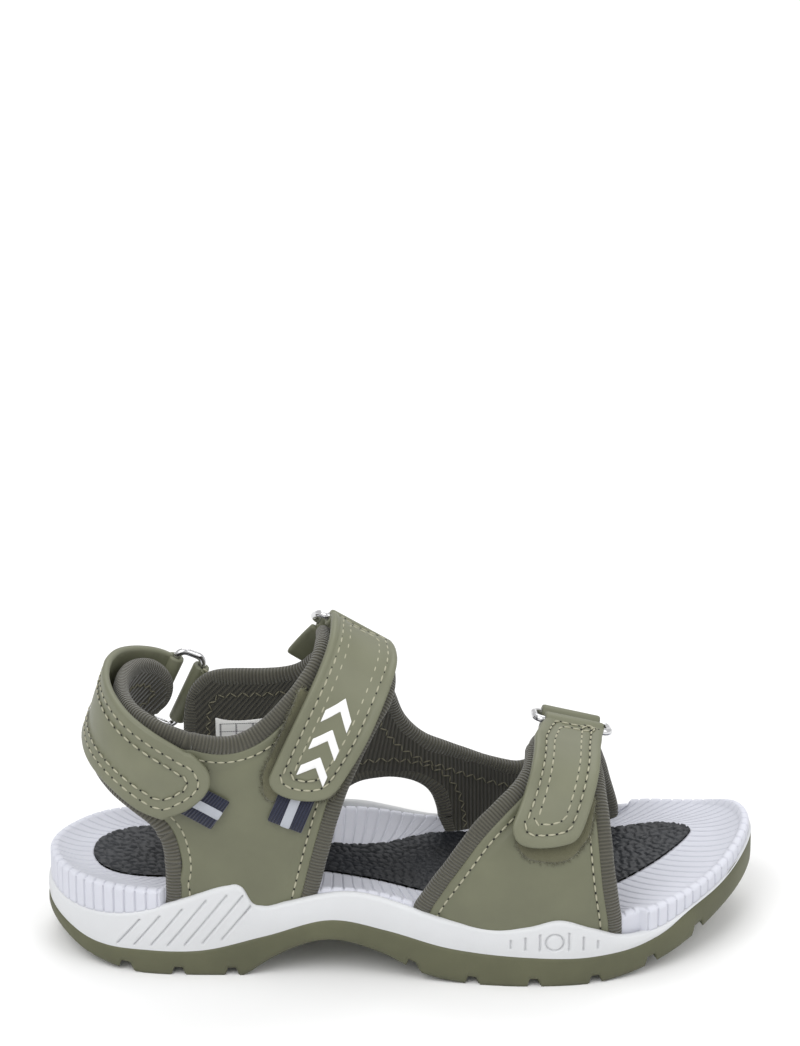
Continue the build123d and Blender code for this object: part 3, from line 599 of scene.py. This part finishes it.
def panel(name, loop, low, high, body, material, spacing=1.1, puff=0.0, groove_at=0.0, rounding=0.5):
    """A sheet with thickness laid on the last between two heights, its edges rounded over."""
    border = moved_in(loop, rounding) * CHART_SCALE
    grid = grid_inside(border, spacing, (0.03, 0.02))
    gap = gap_to(border, grid)
    grid, gap = grid[gap > spacing * 0.5], gap[gap > spacing * 0.5]
    flat, triangles = fill_plan(border, grid, 0, 1e-6)
    triangles = triangles[points_inside(flat[triangles].mean(1), border)]
    depth = np.zeros(len(flat))
    depth[len(border):len(border) + len(gap)] = gap
    rise = puff * np.clip((depth - groove_at) / PUFF_EASE, 0, 1) ** 0.7
    if groove_at:
        rise = rise - SEAM_SINK * np.exp(-((depth - groove_at) / SEAM_HALF_WIDTH) ** 2)
    chart = flat / CHART_SCALE
    bulge = min(0.35, (high - low) * 0.3)
    points = [last_point(chart, high + rise), last_point(chart, np.full(len(chart), low)),
              last_point(loop, high - bulge), last_point(loop, low + bulge)]
    faces = [tuple(t) for t in triangles] + [tuple(t[::-1] + len(flat)) for t in triangles]
    size = len(loop)
    chain = [0, 2 * len(flat), 2 * len(flat) + size, len(flat)]
    for a, b in zip(chain, chain[1:]):
        faces += [(a + i, b + i, b + (i + 1) % size, a + (i + 1) % size) for i in range(size)]
    made = piece(name, tucked(np.vstack(points)), faces, body, material)
    weave(made, np.vstack([flat, flat, loop * CHART_SCALE, loop * CHART_SCALE]))
    outward(made)
    return made


def outward(made):
    """Turns a closed piece's faces outwards."""
    shell = bmesh.new()
    shell.from_mesh(made.data)
    bmesh.ops.recalc_face_normals(shell, faces=shell.faces)
    shell.to_mesh(made.data)
    shell.free()


def padded_roll(name, loop, body, material):
    """A soft roll swept along a closed edge, its knit ribs lying across it."""
    loop = even_loop(loop, 0.5, 1)
    point, inward, normal, _, _, _ = inward_of(loop)
    run = run_along(point)
    swell = 1 + 0.018 * np.sin(run * 0.21) + 0.012 * np.sin(run * 0.53 + 1)
    points, weaves = [], []
    for angle in np.linspace(0, 2 * math.pi, ROLL_SIDES, endpoint=False):
        out = np.sign(math.sin(angle)) * abs(math.sin(angle)) ** 0.8 * ROLL_THICK / 2
        side = np.sign(math.cos(angle)) * abs(math.cos(angle)) ** 0.8 * ROLL_WIDTH / 2
        points.append(point + inward * (ROLL_WIDTH / 2 - side * swell)[:, None]
                      + normal * (ROLL_MIDDLE + out * swell)[:, None])
        weaves.append(np.column_stack([run, np.full(len(run), angle * ROLL_WIDTH / 2)]))
    size = len(loop)
    faces = [tuple(c % (ROLL_SIDES * size) for c in face) for face in ring_faces(ROLL_SIDES + 1, size)]
    made = piece(name, tucked(np.vstack(points)), faces, body, material)
    weave(made, np.vstack(weaves))
    outward(made)
    return made


def knit_material(name, colour, pitch, depth, groove_shade=0.35):
    """Ribbed knit: ribs of one pitch along the weave, with painted shade darkening the grooves between them,
    over a fine fuzzy grain.
    """
    made = surface_material(name, colour, 0.92, 0.35, 0.12, shade=0.10, sheen=0.25)
    tree = made.node_tree
    shader = tree.nodes["Principled BSDF"]
    lie = node(tree, "ShaderNodeAttribute")
    lie.attribute_name = "weave"
    split = node(tree, "ShaderNodeSeparateXYZ")
    turns = node(tree, "ShaderNodeMath")
    turns.operation = "MULTIPLY"
    turns.inputs[1].default_value = 2 * math.pi / (pitch * MM)
    wave = node(tree, "ShaderNodeMath")
    wave.operation = "SINE"
    # painted shade: the colour is multiplied down in the grooves between ribs, in step with the rib bump
    fold = node(tree, "ShaderNodeMapRange", From_Min=-1.0, To_Min=1 - groove_shade, To_Max=1.0)
    shaded = tree.nodes.new("ShaderNodeMix")
    shaded.data_type = "RGBA"
    shaded.blend_type = "MULTIPLY"
    shaded.inputs["Factor"].default_value = 1.0
    ribs = node(tree, "ShaderNodeBump", Distance=depth * MM, Strength=0.9)
    old_colour = shader.inputs["Base Color"].links[0].from_socket
    old_normal = shader.inputs["Normal"].links[0].from_socket
    join(tree, (lie.outputs["Vector"], split.inputs["Vector"]), (split.outputs["X"], turns.inputs[0]),
         (turns.outputs["Value"], wave.inputs[0]), (wave.outputs["Value"], fold.inputs["Value"]),
         (old_colour, shaded.inputs["A"]), (fold.outputs["Result"], shaded.inputs["B"]),
         (shaded.outputs["Result"], shader.inputs["Base Color"]),
         (wave.outputs["Value"], ribs.inputs["Height"]), (old_normal, ribs.inputs["Normal"]),
         (ribs.outputs["Normal"], shader.inputs["Normal"]))
    return made


def bead_tree():
    """Nodes that set one rounded bead on every point, turned by the point's up and along attributes."""
    tree = bpy.data.node_groups.new("beads_on_points", "GeometryNodeTree")
    tree.interface.new_socket("Geometry", in_out="INPUT", socket_type="NodeSocketGeometry")
    tree.interface.new_socket("Bead Size", in_out="INPUT", socket_type="NodeSocketVector")
    tree.interface.new_socket("Bead Material", in_out="INPUT", socket_type="NodeSocketMaterial")
    tree.interface.new_socket("Geometry", in_out="OUTPUT", socket_type="NodeSocketGeometry")
    start = tree.nodes.new("NodeGroupInput")
    finish = tree.nodes.new("NodeGroupOutput")
    bead = node(tree, "GeometryNodeMeshIcoSphere", Radius=0.5, Subdivisions=2)
    facing = []
    for attribute in ("up", "along"):
        named = node(tree, "GeometryNodeInputNamedAttribute", Name=attribute)
        named.data_type = "FLOAT_VECTOR"
        facing.append(named.outputs["Attribute"])
    turn = node(tree, "FunctionNodeAxesToRotation")
    turn.primary_axis = "Z"
    turn.secondary_axis = "X"
    place = node(tree, "GeometryNodeInstanceOnPoints")
    real = node(tree, "GeometryNodeRealizeInstances")
    smooth = node(tree, "GeometryNodeSetShadeSmooth")
    paint = node(tree, "GeometryNodeSetMaterial")
    join(tree, (start.outputs["Geometry"], place.inputs["Points"]),
         (bead.outputs["Mesh"], place.inputs["Instance"]),
         (facing[0], turn.inputs["Primary Axis"]), (facing[1], turn.inputs["Secondary Axis"]),
         (turn.outputs["Rotation"], place.inputs["Rotation"]),
         (start.outputs["Bead Size"], place.inputs["Scale"]),
         (place.outputs["Instances"], real.inputs["Geometry"]),
         (real.outputs["Geometry"], smooth.inputs["Geometry"]),
         (smooth.outputs["Geometry"], paint.inputs["Geometry"]),
         (start.outputs["Bead Material"], paint.inputs["Material"]),
         (paint.outputs["Geometry"], finish.inputs["Geometry"]))
    return tree


beads_on_points = bead_tree()


def beads(name, points, up, along, size, body, material):
    """Many small beads as one piece, such as stitches, the painted shade of needle holes, or pile."""
    mesh = bpy.data.meshes.new(name)
    mesh.from_pydata((np.asarray(points) * MM).tolist(), [], [])
    for attribute, values in (("up", up), ("along", along)):
        kept = mesh.attributes.new(attribute, "FLOAT_VECTOR", "POINT")
        kept.data.foreach_set("vector", np.asarray(values, np.float32).ravel())
    seeds = bpy.data.objects.new(name, mesh)
    scene.collection.objects.link(seeds)
    grower = seeds.modifiers.new("beads", "NODES")
    grower.node_group = beads_on_points
    inputs = [item for item in beads_on_points.interface.items_tree if item.in_out == "INPUT"]
    sockets = {item.name: item.identifier for item in inputs}
    grower[sockets["Bead Size"]] = [s * MM for s in size]
    grower[sockets["Bead Material"]] = material
    grown = seeds.evaluated_get(bpy.context.evaluated_depsgraph_get())
    made_mesh = bpy.data.meshes.new_from_object(grown)
    seeds.modifiers.clear()
    seeds.data = made_mesh
    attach(seeds, body)
    return seeds


def stitch_line(loop, by, out):
    """Middle, normal and direction of each stitch on a line run inside a closed edge."""
    line = even_loop(moved_in(loop, by), STITCH_PITCH, 0)
    point, _, normal, _, _, ahead = inward_of(line)
    return np.hstack([point + normal * out, normal, ahead])


def sew(name, rows, body):
    """Thread stitches, and dark beads between them that paint the shade inside the needle holes."""
    point, normal, ahead = np.split(np.vstack(rows), 3, axis=1)
    beads(name + "_stitches", point, normal, ahead, STITCH_SIZE, body, thread)
    # painted shade: dark beads set a little into the surface halfway between stitches, where the needle holes
    # are
    holes = point + ahead * STITCH_PITCH / 2 - normal * 0.05
    beads(name + "_needle_holes", holes, normal, ahead, NEEDLE_HOLE_SIZE, body, painted_hole_shade)


def zigzag_line(loop, by, out):
    """Middle, normal and direction of each stitch of a zigzag run inside a closed edge."""
    line = even_loop(moved_in(loop, by), ZIGZAG_PITCH, 0)
    point, inward, normal, _, _, ahead = inward_of(line)
    swing = np.where(np.arange(len(line)) % 2, ZIGZAG_SWING, -ZIGZAG_SWING)[:, None]
    return np.hstack([point + normal * out, normal, unit(ahead + inward * swing)])


def sole_line(start, end):
    """The hidden lower edge of an upper panel, down between the footbed and the midsole."""
    x = np.linspace(start, end, 9)
    return list(zip(x, curve_value(CAVITY_FLOOR, x) - SOLE_TUCK))


def tucked(points):
    """Points kept above the sole's cavity, where a panel's lower edge is cemented in."""
    points[:, 2] = np.maximum(points[:, 2], curve_value(CAVITY_FLOOR, points[:, 0]) + 0.8)
    return points


def above_sole(rows):
    """The stitches of a line that stand clear of the midsole's edge."""
    return rows[rows[:, 2] > curve_value(MIDSOLE_TOP, rows[:, 0]) - 0.5]


olive = surface_material("olive_coated", OLIVE, 0.50, 0.35, 0.05, shade=0.08)
# the last number of each knit sets how dark the painted shade in its rib grooves is
taupe_knit = knit_material("taupe_knit", TAUPE, RIB_PITCH, 0.22, 0.45)
dark_knit = knit_material("dark_knit", DARK_KNIT, 1.35, 0.25, 0.5)
thread = surface_material("pale_thread", THREAD, 0.7, 0.2, 0.08, shade=0.1)
dark_thread = surface_material("dark_thread", (0.17, 0.16, 0.11), 0.7, 0.2, 0.08, shade=0.1)
# painted shade: near-black beads that stand in for the shade inside the needle holes
painted_hole_shade = surface_material("needle_hole_shade", (0.012, 0.012, 0.010), 0.9, 0.3, 0.02)
TONGUE_Y = 5.0
quarter = outline(
    ("outer", QUARTER_FRONT), ("outer", sole_line(-27.5, -72.0)), ("outer", QUARTER_REAR),
    ("inner_heel", HEEL_LOBE), ("outer", QUARTER_COLLAR),
    ("crest", [(-22, 104, TONGUE_Y), (0, 96, TONGUE_Y)]),
)


def upper_panel(name, loop):
    """One padded panel of the upper: roll, lining, cover and its seam."""
    padded_roll(name + "_roll", loop, "root", taupe_knit)
    lining = panel(name + "_lining_cloth", moved_in(loop, 2.0), *LINING, "root", dark_knit, spacing=1.7)
    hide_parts(name + "_lining")
    tacking = above_sole(zigzag_line(loop, 7.6, LINING[0] - 0.15))
    point, normal, ahead = np.split(tacking, 3, axis=1)
    beads(name + "_lining_zigzag", point, normal, ahead, ZIGZAG_SIZE, "root", dark_thread)
    edge = moved_in(loop, ROLL_WIDTH - 0.9)
    cover = panel(name + "_cover", edge, *COVER, "root", olive, puff=0.7, groove_at=2.6, spacing=1.0)
    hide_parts(name + "_leather")
    sew(name, [above_sole(stitch_line(edge, 2.7, 0.18))], "root")
    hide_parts(name + "_foam")


upper_panel("lateral_quarter", quarter)

# ---------------------------------------------------------------- outer vamp
# The front piece on the outer side, made like the quarter. It crosses the toes and meets the inner
# upper at the crest, under the toe strap.
VAMP_REAR = [(1.2, 22.8), (10.2, 37.6), (19.1, 50.6), (26.7, 57.6), (33, 61.4), (38, 64.5), (42, 70)]
VAMP_FRONT = [(60.3, 66), (61.3, 54.9), (62.3, 46.7), (63.6, 32.8), (65.6, 19.0)]
vamp = outline(
    ("outer", VAMP_REAR), ("crest", [(41, 66, TONGUE_Y), (60, 62, TONGUE_Y)]), ("outer", VAMP_FRONT),
    ("outer", sole_line(66.3, -5.0)),
)
upper_panel("lateral_vamp", vamp)

# ---------------------------------------------------------------- inner upper
# One long piece on the inner side, from in front of the heel to the toes, made like the quarter and
# arched up over a window beside the instep.
MEDIAL_REAR = [(-66.5, 24), (-66.2, 50), (-65.6, 63), (-63.8, 70), (-58.5, 75.3), (-49, 77.3), (-39.5, 78.4),
               (-31.5, 80.8), (-27, 85.5), (-22, 91.5)]
MEDIAL_TOP = [(-22, 91.5), (-13, 88), (-5, 81), (-1.5, 71), (2, 60.8), (8, 53.6), (16, 48.8), (25.2, 43.6),
              (33, 39.8), (38, 38.6), (42.3, 41), (45, 48), (46.5, 58)]
MEDIAL_FRONT = [(60, 55), (63.5, 43), (66.6, 30.5), (69.2, 21)]
WINDOW = [(12.5, 14), (11.5, 24.5), (9.4, 31.8), (5.4, 36.1), (0, 38.2), (-6, 38.6), (-13, 37.2),
          (-19, 32), (-23, 22), (-24.5, 16)]
inner = outline(
    ("inner", MEDIAL_REAR), ("inner", MEDIAL_TOP[1:]), ("crest", [(46.5, 62, 7.0), (59, 58, 7.0)]),
    ("inner", MEDIAL_FRONT), ("inner", sole_line(70, 13)), ("inner", WINDOW), ("inner", sole_line(-25, -66)),
)
upper_panel("medial_upper", inner)

# ---------------------------------------------------------------- size label
# A small white woven label, laid flat on the lining inside the inner upper, with the lines of an empty
# table printed on it.
LABEL = (-4.6, -4.15)  # heights from the last
LABEL_ROWS, LABEL_COLUMNS = (0.2, 0.4, 0.6, 0.8), (0.0, 0.3, 0.62, 1.0)  # shares of its height and length
RULED_X, RULED_LENGTH = -54.5, 16.0
RULED_Z, RULED_HEIGHT = 48.5, 13.6
RULING_SIZE = (0.7, 0.22, 0.16)
label_cloth = surface_material("label_cloth", (0.78, 0.78, 0.76), 0.8, 0.4, 0.04, shade=0.02)
label_loop = outline(("inner", [(-56, 47.5), (-56, 61.5)]), ("inner", [(-37, 63), (-37, 49)]), soften=0)
label = panel("size_label_cloth", label_loop, *LABEL, "root", label_cloth, rounding=0.15)
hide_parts("size_label")
ruled = []
for row in LABEL_ROWS:
    z = RULED_Z + RULED_HEIGHT * row
    ruled.append(on_last("inner", [(RULED_X, z), (RULED_X + RULED_LENGTH, z + 1.3)]))
for column in LABEL_COLUMNS:
    x = RULED_X + RULED_LENGTH * column
    ruled.append(on_last("inner", [(x, 51.2 + column), (x, 59.2 + 1.4 * column)]))
ruled = np.vstack(ruled)
ink = surface_material("label_ruling", (0.10, 0.10, 0.11), 0.8, 0.3, 0.02)
_, _, _, ruled_normal = last_frame(ruled)
beads("size_label_ruling", last_point(ruled, LABEL[0] - 0.02), ruled_normal,
      np.tile((1.0, 0, 0), (len(ruled), 1)), RULING_SIZE, "root", ink)

# ---------------------------------------------------------------- straps
# Three olive straps, each coated like the upper, sewn round its tip with two rows of pale thread and
# backed with hooks. Each runs over its fuzzy loop patch to a metal ring on the inner side.
STRAP = (2.7, 5.0)  # heights from the last
HOOK_PILE = (1.5, 2.9)
LOOP_PILE = (-0.2, 1.4)
RING_HOLDER = (-0.2, 1.5)
FOLD_RADIUS = 2.6
FIBRE_SIZE = (1.7, 0.16, 0.16)
STRAPS = {
    "heel": {
        "strap": [
            ("outer", [(-112, 93), (-98, 91.5), (-86.5, 89), (-78.5, 84.6), (-70, 80), (-62.5, 75.8)]),
            ("outer", [(-62.5, 75.8), (-58.8, 70.5), (-59.3, 64), (-65, 58.3), (-72.5, 55.3)]),
            ("outer", [(-72.5, 55.3), (-78.5, 57.6), (-85, 62), (-92.4, 65.5), (-98, 66.6), (-112, 67)]),
            ("inner_heel", [(-112, 67), (-98, 66.6), (-92.4, 65.5), (-86, 63), (-80, 60.8), (-76.2, 60)]),
            ("inner_heel", [(-67.9, 78.4), (-72, 81.2), (-78.5, 84.8), (-86.5, 89), (-98, 91.5), (-112, 93)]),
        ],
        "loop": [("outer", [(-84, 80), (-61, 71), (-60.5, 64), (-66, 58)]),
                 ("outer", [(-66, 58), (-84, 63)])],
        "hook": [("outer", [(-88, 84), (-66, 74.5), (-61, 69), (-61, 64), (-66, 59.4), (-72, 57)]),
                 ("outer", [(-72, 57), (-88, 66.5)])],
        "tab": [("inner", [(-64.5, 55.5), (-60.5, 75.5)]), ("inner", [(-48, 69), (-51, 51)])],
        "strap_bar": (-72, 29.2, 69.2), "holder_bar": (-64.3, 29.4, 65.8),
        "along": (0.404, 0, 0.914), "sleeve": 20,
    },
    "instep": {
        "strap": [
            ("outer", [(-41, 66), (-35.7, 77.6), (-28.1, 92.8), (-23.4, 101.7), (-20.8, 105.6), (-18, 111)]),
            ("crest", [(-21.7, 101.5, 8.8), (-4.7, 90.9, 8.8)]),
            ("outer", [(3, 101), (-1.6, 92.2), (-5.8, 85.6), (-12, 74.1), (-19.4, 63)]),
            ("outer", [(-19.4, 63), (-23, 60), (-28, 59.2), (-34, 60), (-39, 62.4), (-41, 66)]),
        ],
        "loop": [("outer", [(-31, 92), (-42.8, 66.5)]),
                 ("outer", [(-42.8, 66.5), (-40.5, 58.3), (-24, 58.5), (-19, 62.5)]),
                 ("outer", [(-19, 62.5), (-9.5, 84)])],
        "hook": [("outer", [(-26.5, 93), (-39.6, 67)]),
                 ("outer", [(-39.6, 67), (-35, 61.5), (-28, 60.6), (-20.8, 64)]),
                 ("outer", [(-20.8, 64), (-8, 87)])],
        "tab": [("inner", [(-27, 96), (-6.5, 83)]), ("inner", [(-14, 71), (-34.5, 84)])],
        "strap_bar": (-13.2, 8.8, 96.2), "holder_bar": (-15.9, 15, 91.85),
        "along": (0.847, 0, -0.532), "sleeve": 20,
    },
    "toe": {
        "strap": [
            ("outer", [(30.9, 51), (35.5, 59.8), (39, 65.4), (43.2, 70), (46, 77)]),
            ("crest", [(43.8, 65, 9.4), (61.2, 60.6, 9.4)]),
            ("outer", [(65, 71), (62.4, 62.6), (60.1, 59.9), (56.6, 54.8), (52.2, 47.5)]),
            ("outer", [(52.2, 47.5), (50, 45.3), (46.9, 44.7), (41.8, 44.6), (36.1, 45.4), (32.5, 47.2),
                       (30.9, 51)]),
        ],
        "loop": [("outer", [(38, 60), (32.6, 45.8)]),
                 ("outer", [(32.6, 45.8), (37, 41.4), (48, 40.2), (55, 46)]),
                 ("outer", [(55, 46), (57.5, 54)])],
        "hook": [("outer", [(39, 63), (32.6, 51.5)]),
                 ("outer", [(32.6, 51.5), (35.5, 46.8), (42, 45.6), (51.2, 47.4)]),
                 ("outer", [(51.2, 47.4), (57.5, 59)])],
        "tab": [("inner", [(43.5, 61.5), (61.5, 57)]), ("inner", [(60, 47), (43, 51)])],
        "strap_bar": (52.5, 9.4, 62.8), "holder_bar": (52, 17.4, 61),
        "along": (0.969, 0, -0.248), "sleeve": 18,
    },
}
PILE_OLIVE = (0.100, 0.098, 0.055)
FELT_GREY = (0.22, 0.22, 0.20)
pile_cloth = surface_material("pile_cloth", PILE_OLIVE, 0.95, 0.3, 0.4, shade=0.25, sheen=0.4)
strap_olive = surface_material("strap_coated", STRAP_OLIVE, 0.50, 0.35, 0.05, shade=0.08)
felt = surface_material("strap_felt", FELT_GREY, 0.95, 0.3, 0.2, shade=0.15)
chrome = surface_material("ring_metal", (0.62, 0.62, 0.63), 0.16, 0.4, 0.01)
chrome.node_tree.nodes["Principled BSDF"].inputs["Metallic"].default_value = 1.0

FOLD_PROFILE = [(-0.5, 0.5), (-0.5, 0.92), (-0.47, 1.0), (0.47, 1.0), (0.5, 0.92), (0.5, 0.5), (-0.5, 0.5)]
FOLD_SIDES = 40


def sleeve(name, bar, along, length, body, material):
    """A strap's end sewn back on itself, round a ring's bar."""
    along = unit(np.array(along, float))
    side = unit(np.cross(along, (0.0, 1.0, 0.0)))
    other = np.cross(along, side)
    angle = np.linspace(0, 2 * math.pi, FOLD_SIDES, endpoint=False)
    ring = np.cos(angle)[:, None] * side + np.sin(angle)[:, None] * other
    rows = [np.array(bar) + along * at * length + FOLD_RADIUS * size * ring for at, size in FOLD_PROFILE]
    outward(piece(name, np.vstack(rows), ring_faces(len(rows), FOLD_SIDES), body, material))


def fuzz(name, loop, low, high, body, seed):
    """Short fibres, leaning every way, that stand out along a pile's edge."""
    random = np.random.default_rng(seed)
    line = even_loop(loop, 0.16, 0)
    point, inward, normal, _, _, ahead = inward_of(line)
    height = random.uniform(low, high, len(line))[:, None]
    lean = random.normal(0, 0.8, (len(line), 3))
    along = unit(-inward + lean * 0.8 + normal * 0.3)
    length = random.uniform(-0.2, 0.7, len(line))[:, None]
    root = point + normal * height + along * length
    beads(name, root, unit(np.cross(along, ahead)), along, FIBRE_SIZE, body, pile_cloth)


for seed, (place, strap) in enumerate(STRAPS.items()):
    body = place + "_strap"
    loop_edge = outline(*strap["loop"])
    loop_patch = panel(place + "_loop_pile", loop_edge, *LOOP_PILE, "root", pile_cloth, spacing=1.6)
    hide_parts(place + "_loop_patch")
    fuzz(place + "_loop_fibres", loop_edge, 0.0, 1.5, "root", 10 + seed)
    hook_edge = outline(*strap["hook"])
    hook_patch = panel(place + "_hook_pile", hook_edge, *HOOK_PILE, body, felt, spacing=1.6)
    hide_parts(place + "_hook_patch")
    fuzz(place + "_hook_fibres", hook_edge, 1.4, 2.6, body, 20 + seed)
    edge = outline(*strap["strap"])
    strap_cover = panel(place + "_strap_cover", edge, *STRAP, body, strap_olive, puff=0.3, groove_at=2.9,
                        spacing=1.0, rounding=0.7)
    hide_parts(place + "_strap")
    sew(place + "_strap", [stitch_line(edge, 3.4, STRAP[1]), stitch_line(edge, 6.2, STRAP[1] + 0.12)], body)
    sleeve(place + "_strap_fold", strap["strap_bar"], strap["along"], strap["sleeve"], body, strap_olive)
    ring = nodes[place + "_ring"]
    for slot in ring.material_slots:
        slot.material = chrome
    tab_edge = outline(*strap["tab"], soften=1)
    holder = panel(place + "_ring_holder", tab_edge, *RING_HOLDER, "root", olive, spacing=1.5)
    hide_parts(place + "_ring_tab")
    sleeve(place + "_ring_holder_fold", strap["holder_bar"], strap["along"], strap["sleeve"], "root", olive)
    sew(place + "_ring_holder", [stitch_line(tab_edge, 2.4, RING_HOLDER[1] - 0.05)], "root")

# ---------------------------------------------------------------- pull tabs
# Short navy ribbons that stick out from under the tips of the heel and instep straps, to pull them open
# by. A pale reflective stripe is laid along the middle of each.
PULL_TABS = {  # middle, length, width, lean in degrees
    "heel": ((-60.2, 57.6), 12, 10.5, -33),
    "instep": ((-33.8, 56), 12, 11, 68),
}
RIBBON = (1.3, 2.4)  # heights from the last
STRIPE = (2.35, 2.6)
STRIPE_WIDTH = 3.0
# the ribbon's rib grooves also carry painted shade
navy = knit_material("navy_ribbon", (0.012, 0.016, 0.040), 0.9, 0.12, 0.5)
silver = surface_material("reflective_stripe", (0.36, 0.38, 0.42), 0.35, 0.25, 0.03, shade=0.05)


def straight_sided(corners, soften):
    """A closed outline with straight sides on the last's outer side."""
    sides = zip(corners, corners[1:] + corners[:1])
    return outline(*[("outer", [tuple(a), tuple(b)]) for a, b in sides], soften=soften, spacing=0.5)


def tab_loop(centre, length, width, lean):
    """A leaning rectangle on the outer side."""
    lean = math.radians(lean)
    ahead = np.array((math.cos(lean), math.sin(lean))) * length / 2
    across = np.array((-math.sin(lean), math.cos(lean))) * width / 2
    corners = [centre + ahead * a + across * b for a, b in ((-1, -1), (1, -1), (1, 1), (-1, 1))]
    return straight_sided(corners, soften=1)


for place, (centre, length, width, lean) in PULL_TABS.items():
    body = place + "_strap"
    ribbon = panel(place + "_pull_ribbon", tab_loop(centre, length, width, lean), *RIBBON, body, navy,
                   spacing=1.0, rounding=0.25)
    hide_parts(place + "_pull_tab")
    stripe_loop = tab_loop(centre, length, STRIPE_WIDTH, lean)
    stripe = panel(place + "_pull_stripe", stripe_loop, *STRIPE, body, silver, spacing=1.0, rounding=0.1)
    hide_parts(place + "_pull_tab_stripe")

# ---------------------------------------------------------------- emblem
# Three plain chevrons, one above the other on the instep strap, printed in a thin raised layer of white
# ink.
CHEVRON_MIDDLE = (-23.2, 76.5)
CHEVRON_PITCH, CHEVRON_BAR = 8.0, 3.2
CHEVRON_HALF, CHEVRON_RISE = 4.6, 4.2
CHEVRON_CORNERS = [(-1, 0, 0), (0, 1, 0), (1, 0, 0), (1, 0, -1), (0, 1, -1), (-1, 0, -1)]
PRINT = (STRAP[1] + 0.1, STRAP[1] + 0.5)  # heights from the last
print_white = surface_material("white_print", (0.80, 0.80, 0.80), 0.45, 0.4, 0.02, shade=0.01)
up_strap = unit(np.array((0.43, 0.9)))
across_strap = np.array((up_strap[1], -up_strap[0]))
for step in (-1, 0, 1):
    middle = np.array(CHEVRON_MIDDLE) + up_strap * (step * CHEVRON_PITCH - 1.0)
    corners = [middle + across_strap * CHEVRON_HALF * a + up_strap * (CHEVRON_RISE * b + CHEVRON_BAR * c)
               for a, b, c in CHEVRON_CORNERS]
    panel("emblem_chevron", straight_sided(corners, soften=0), *PRINT, "instep_strap",
                          print_white, spacing=1.0, rounding=0.08)
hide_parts("instep_emblem")
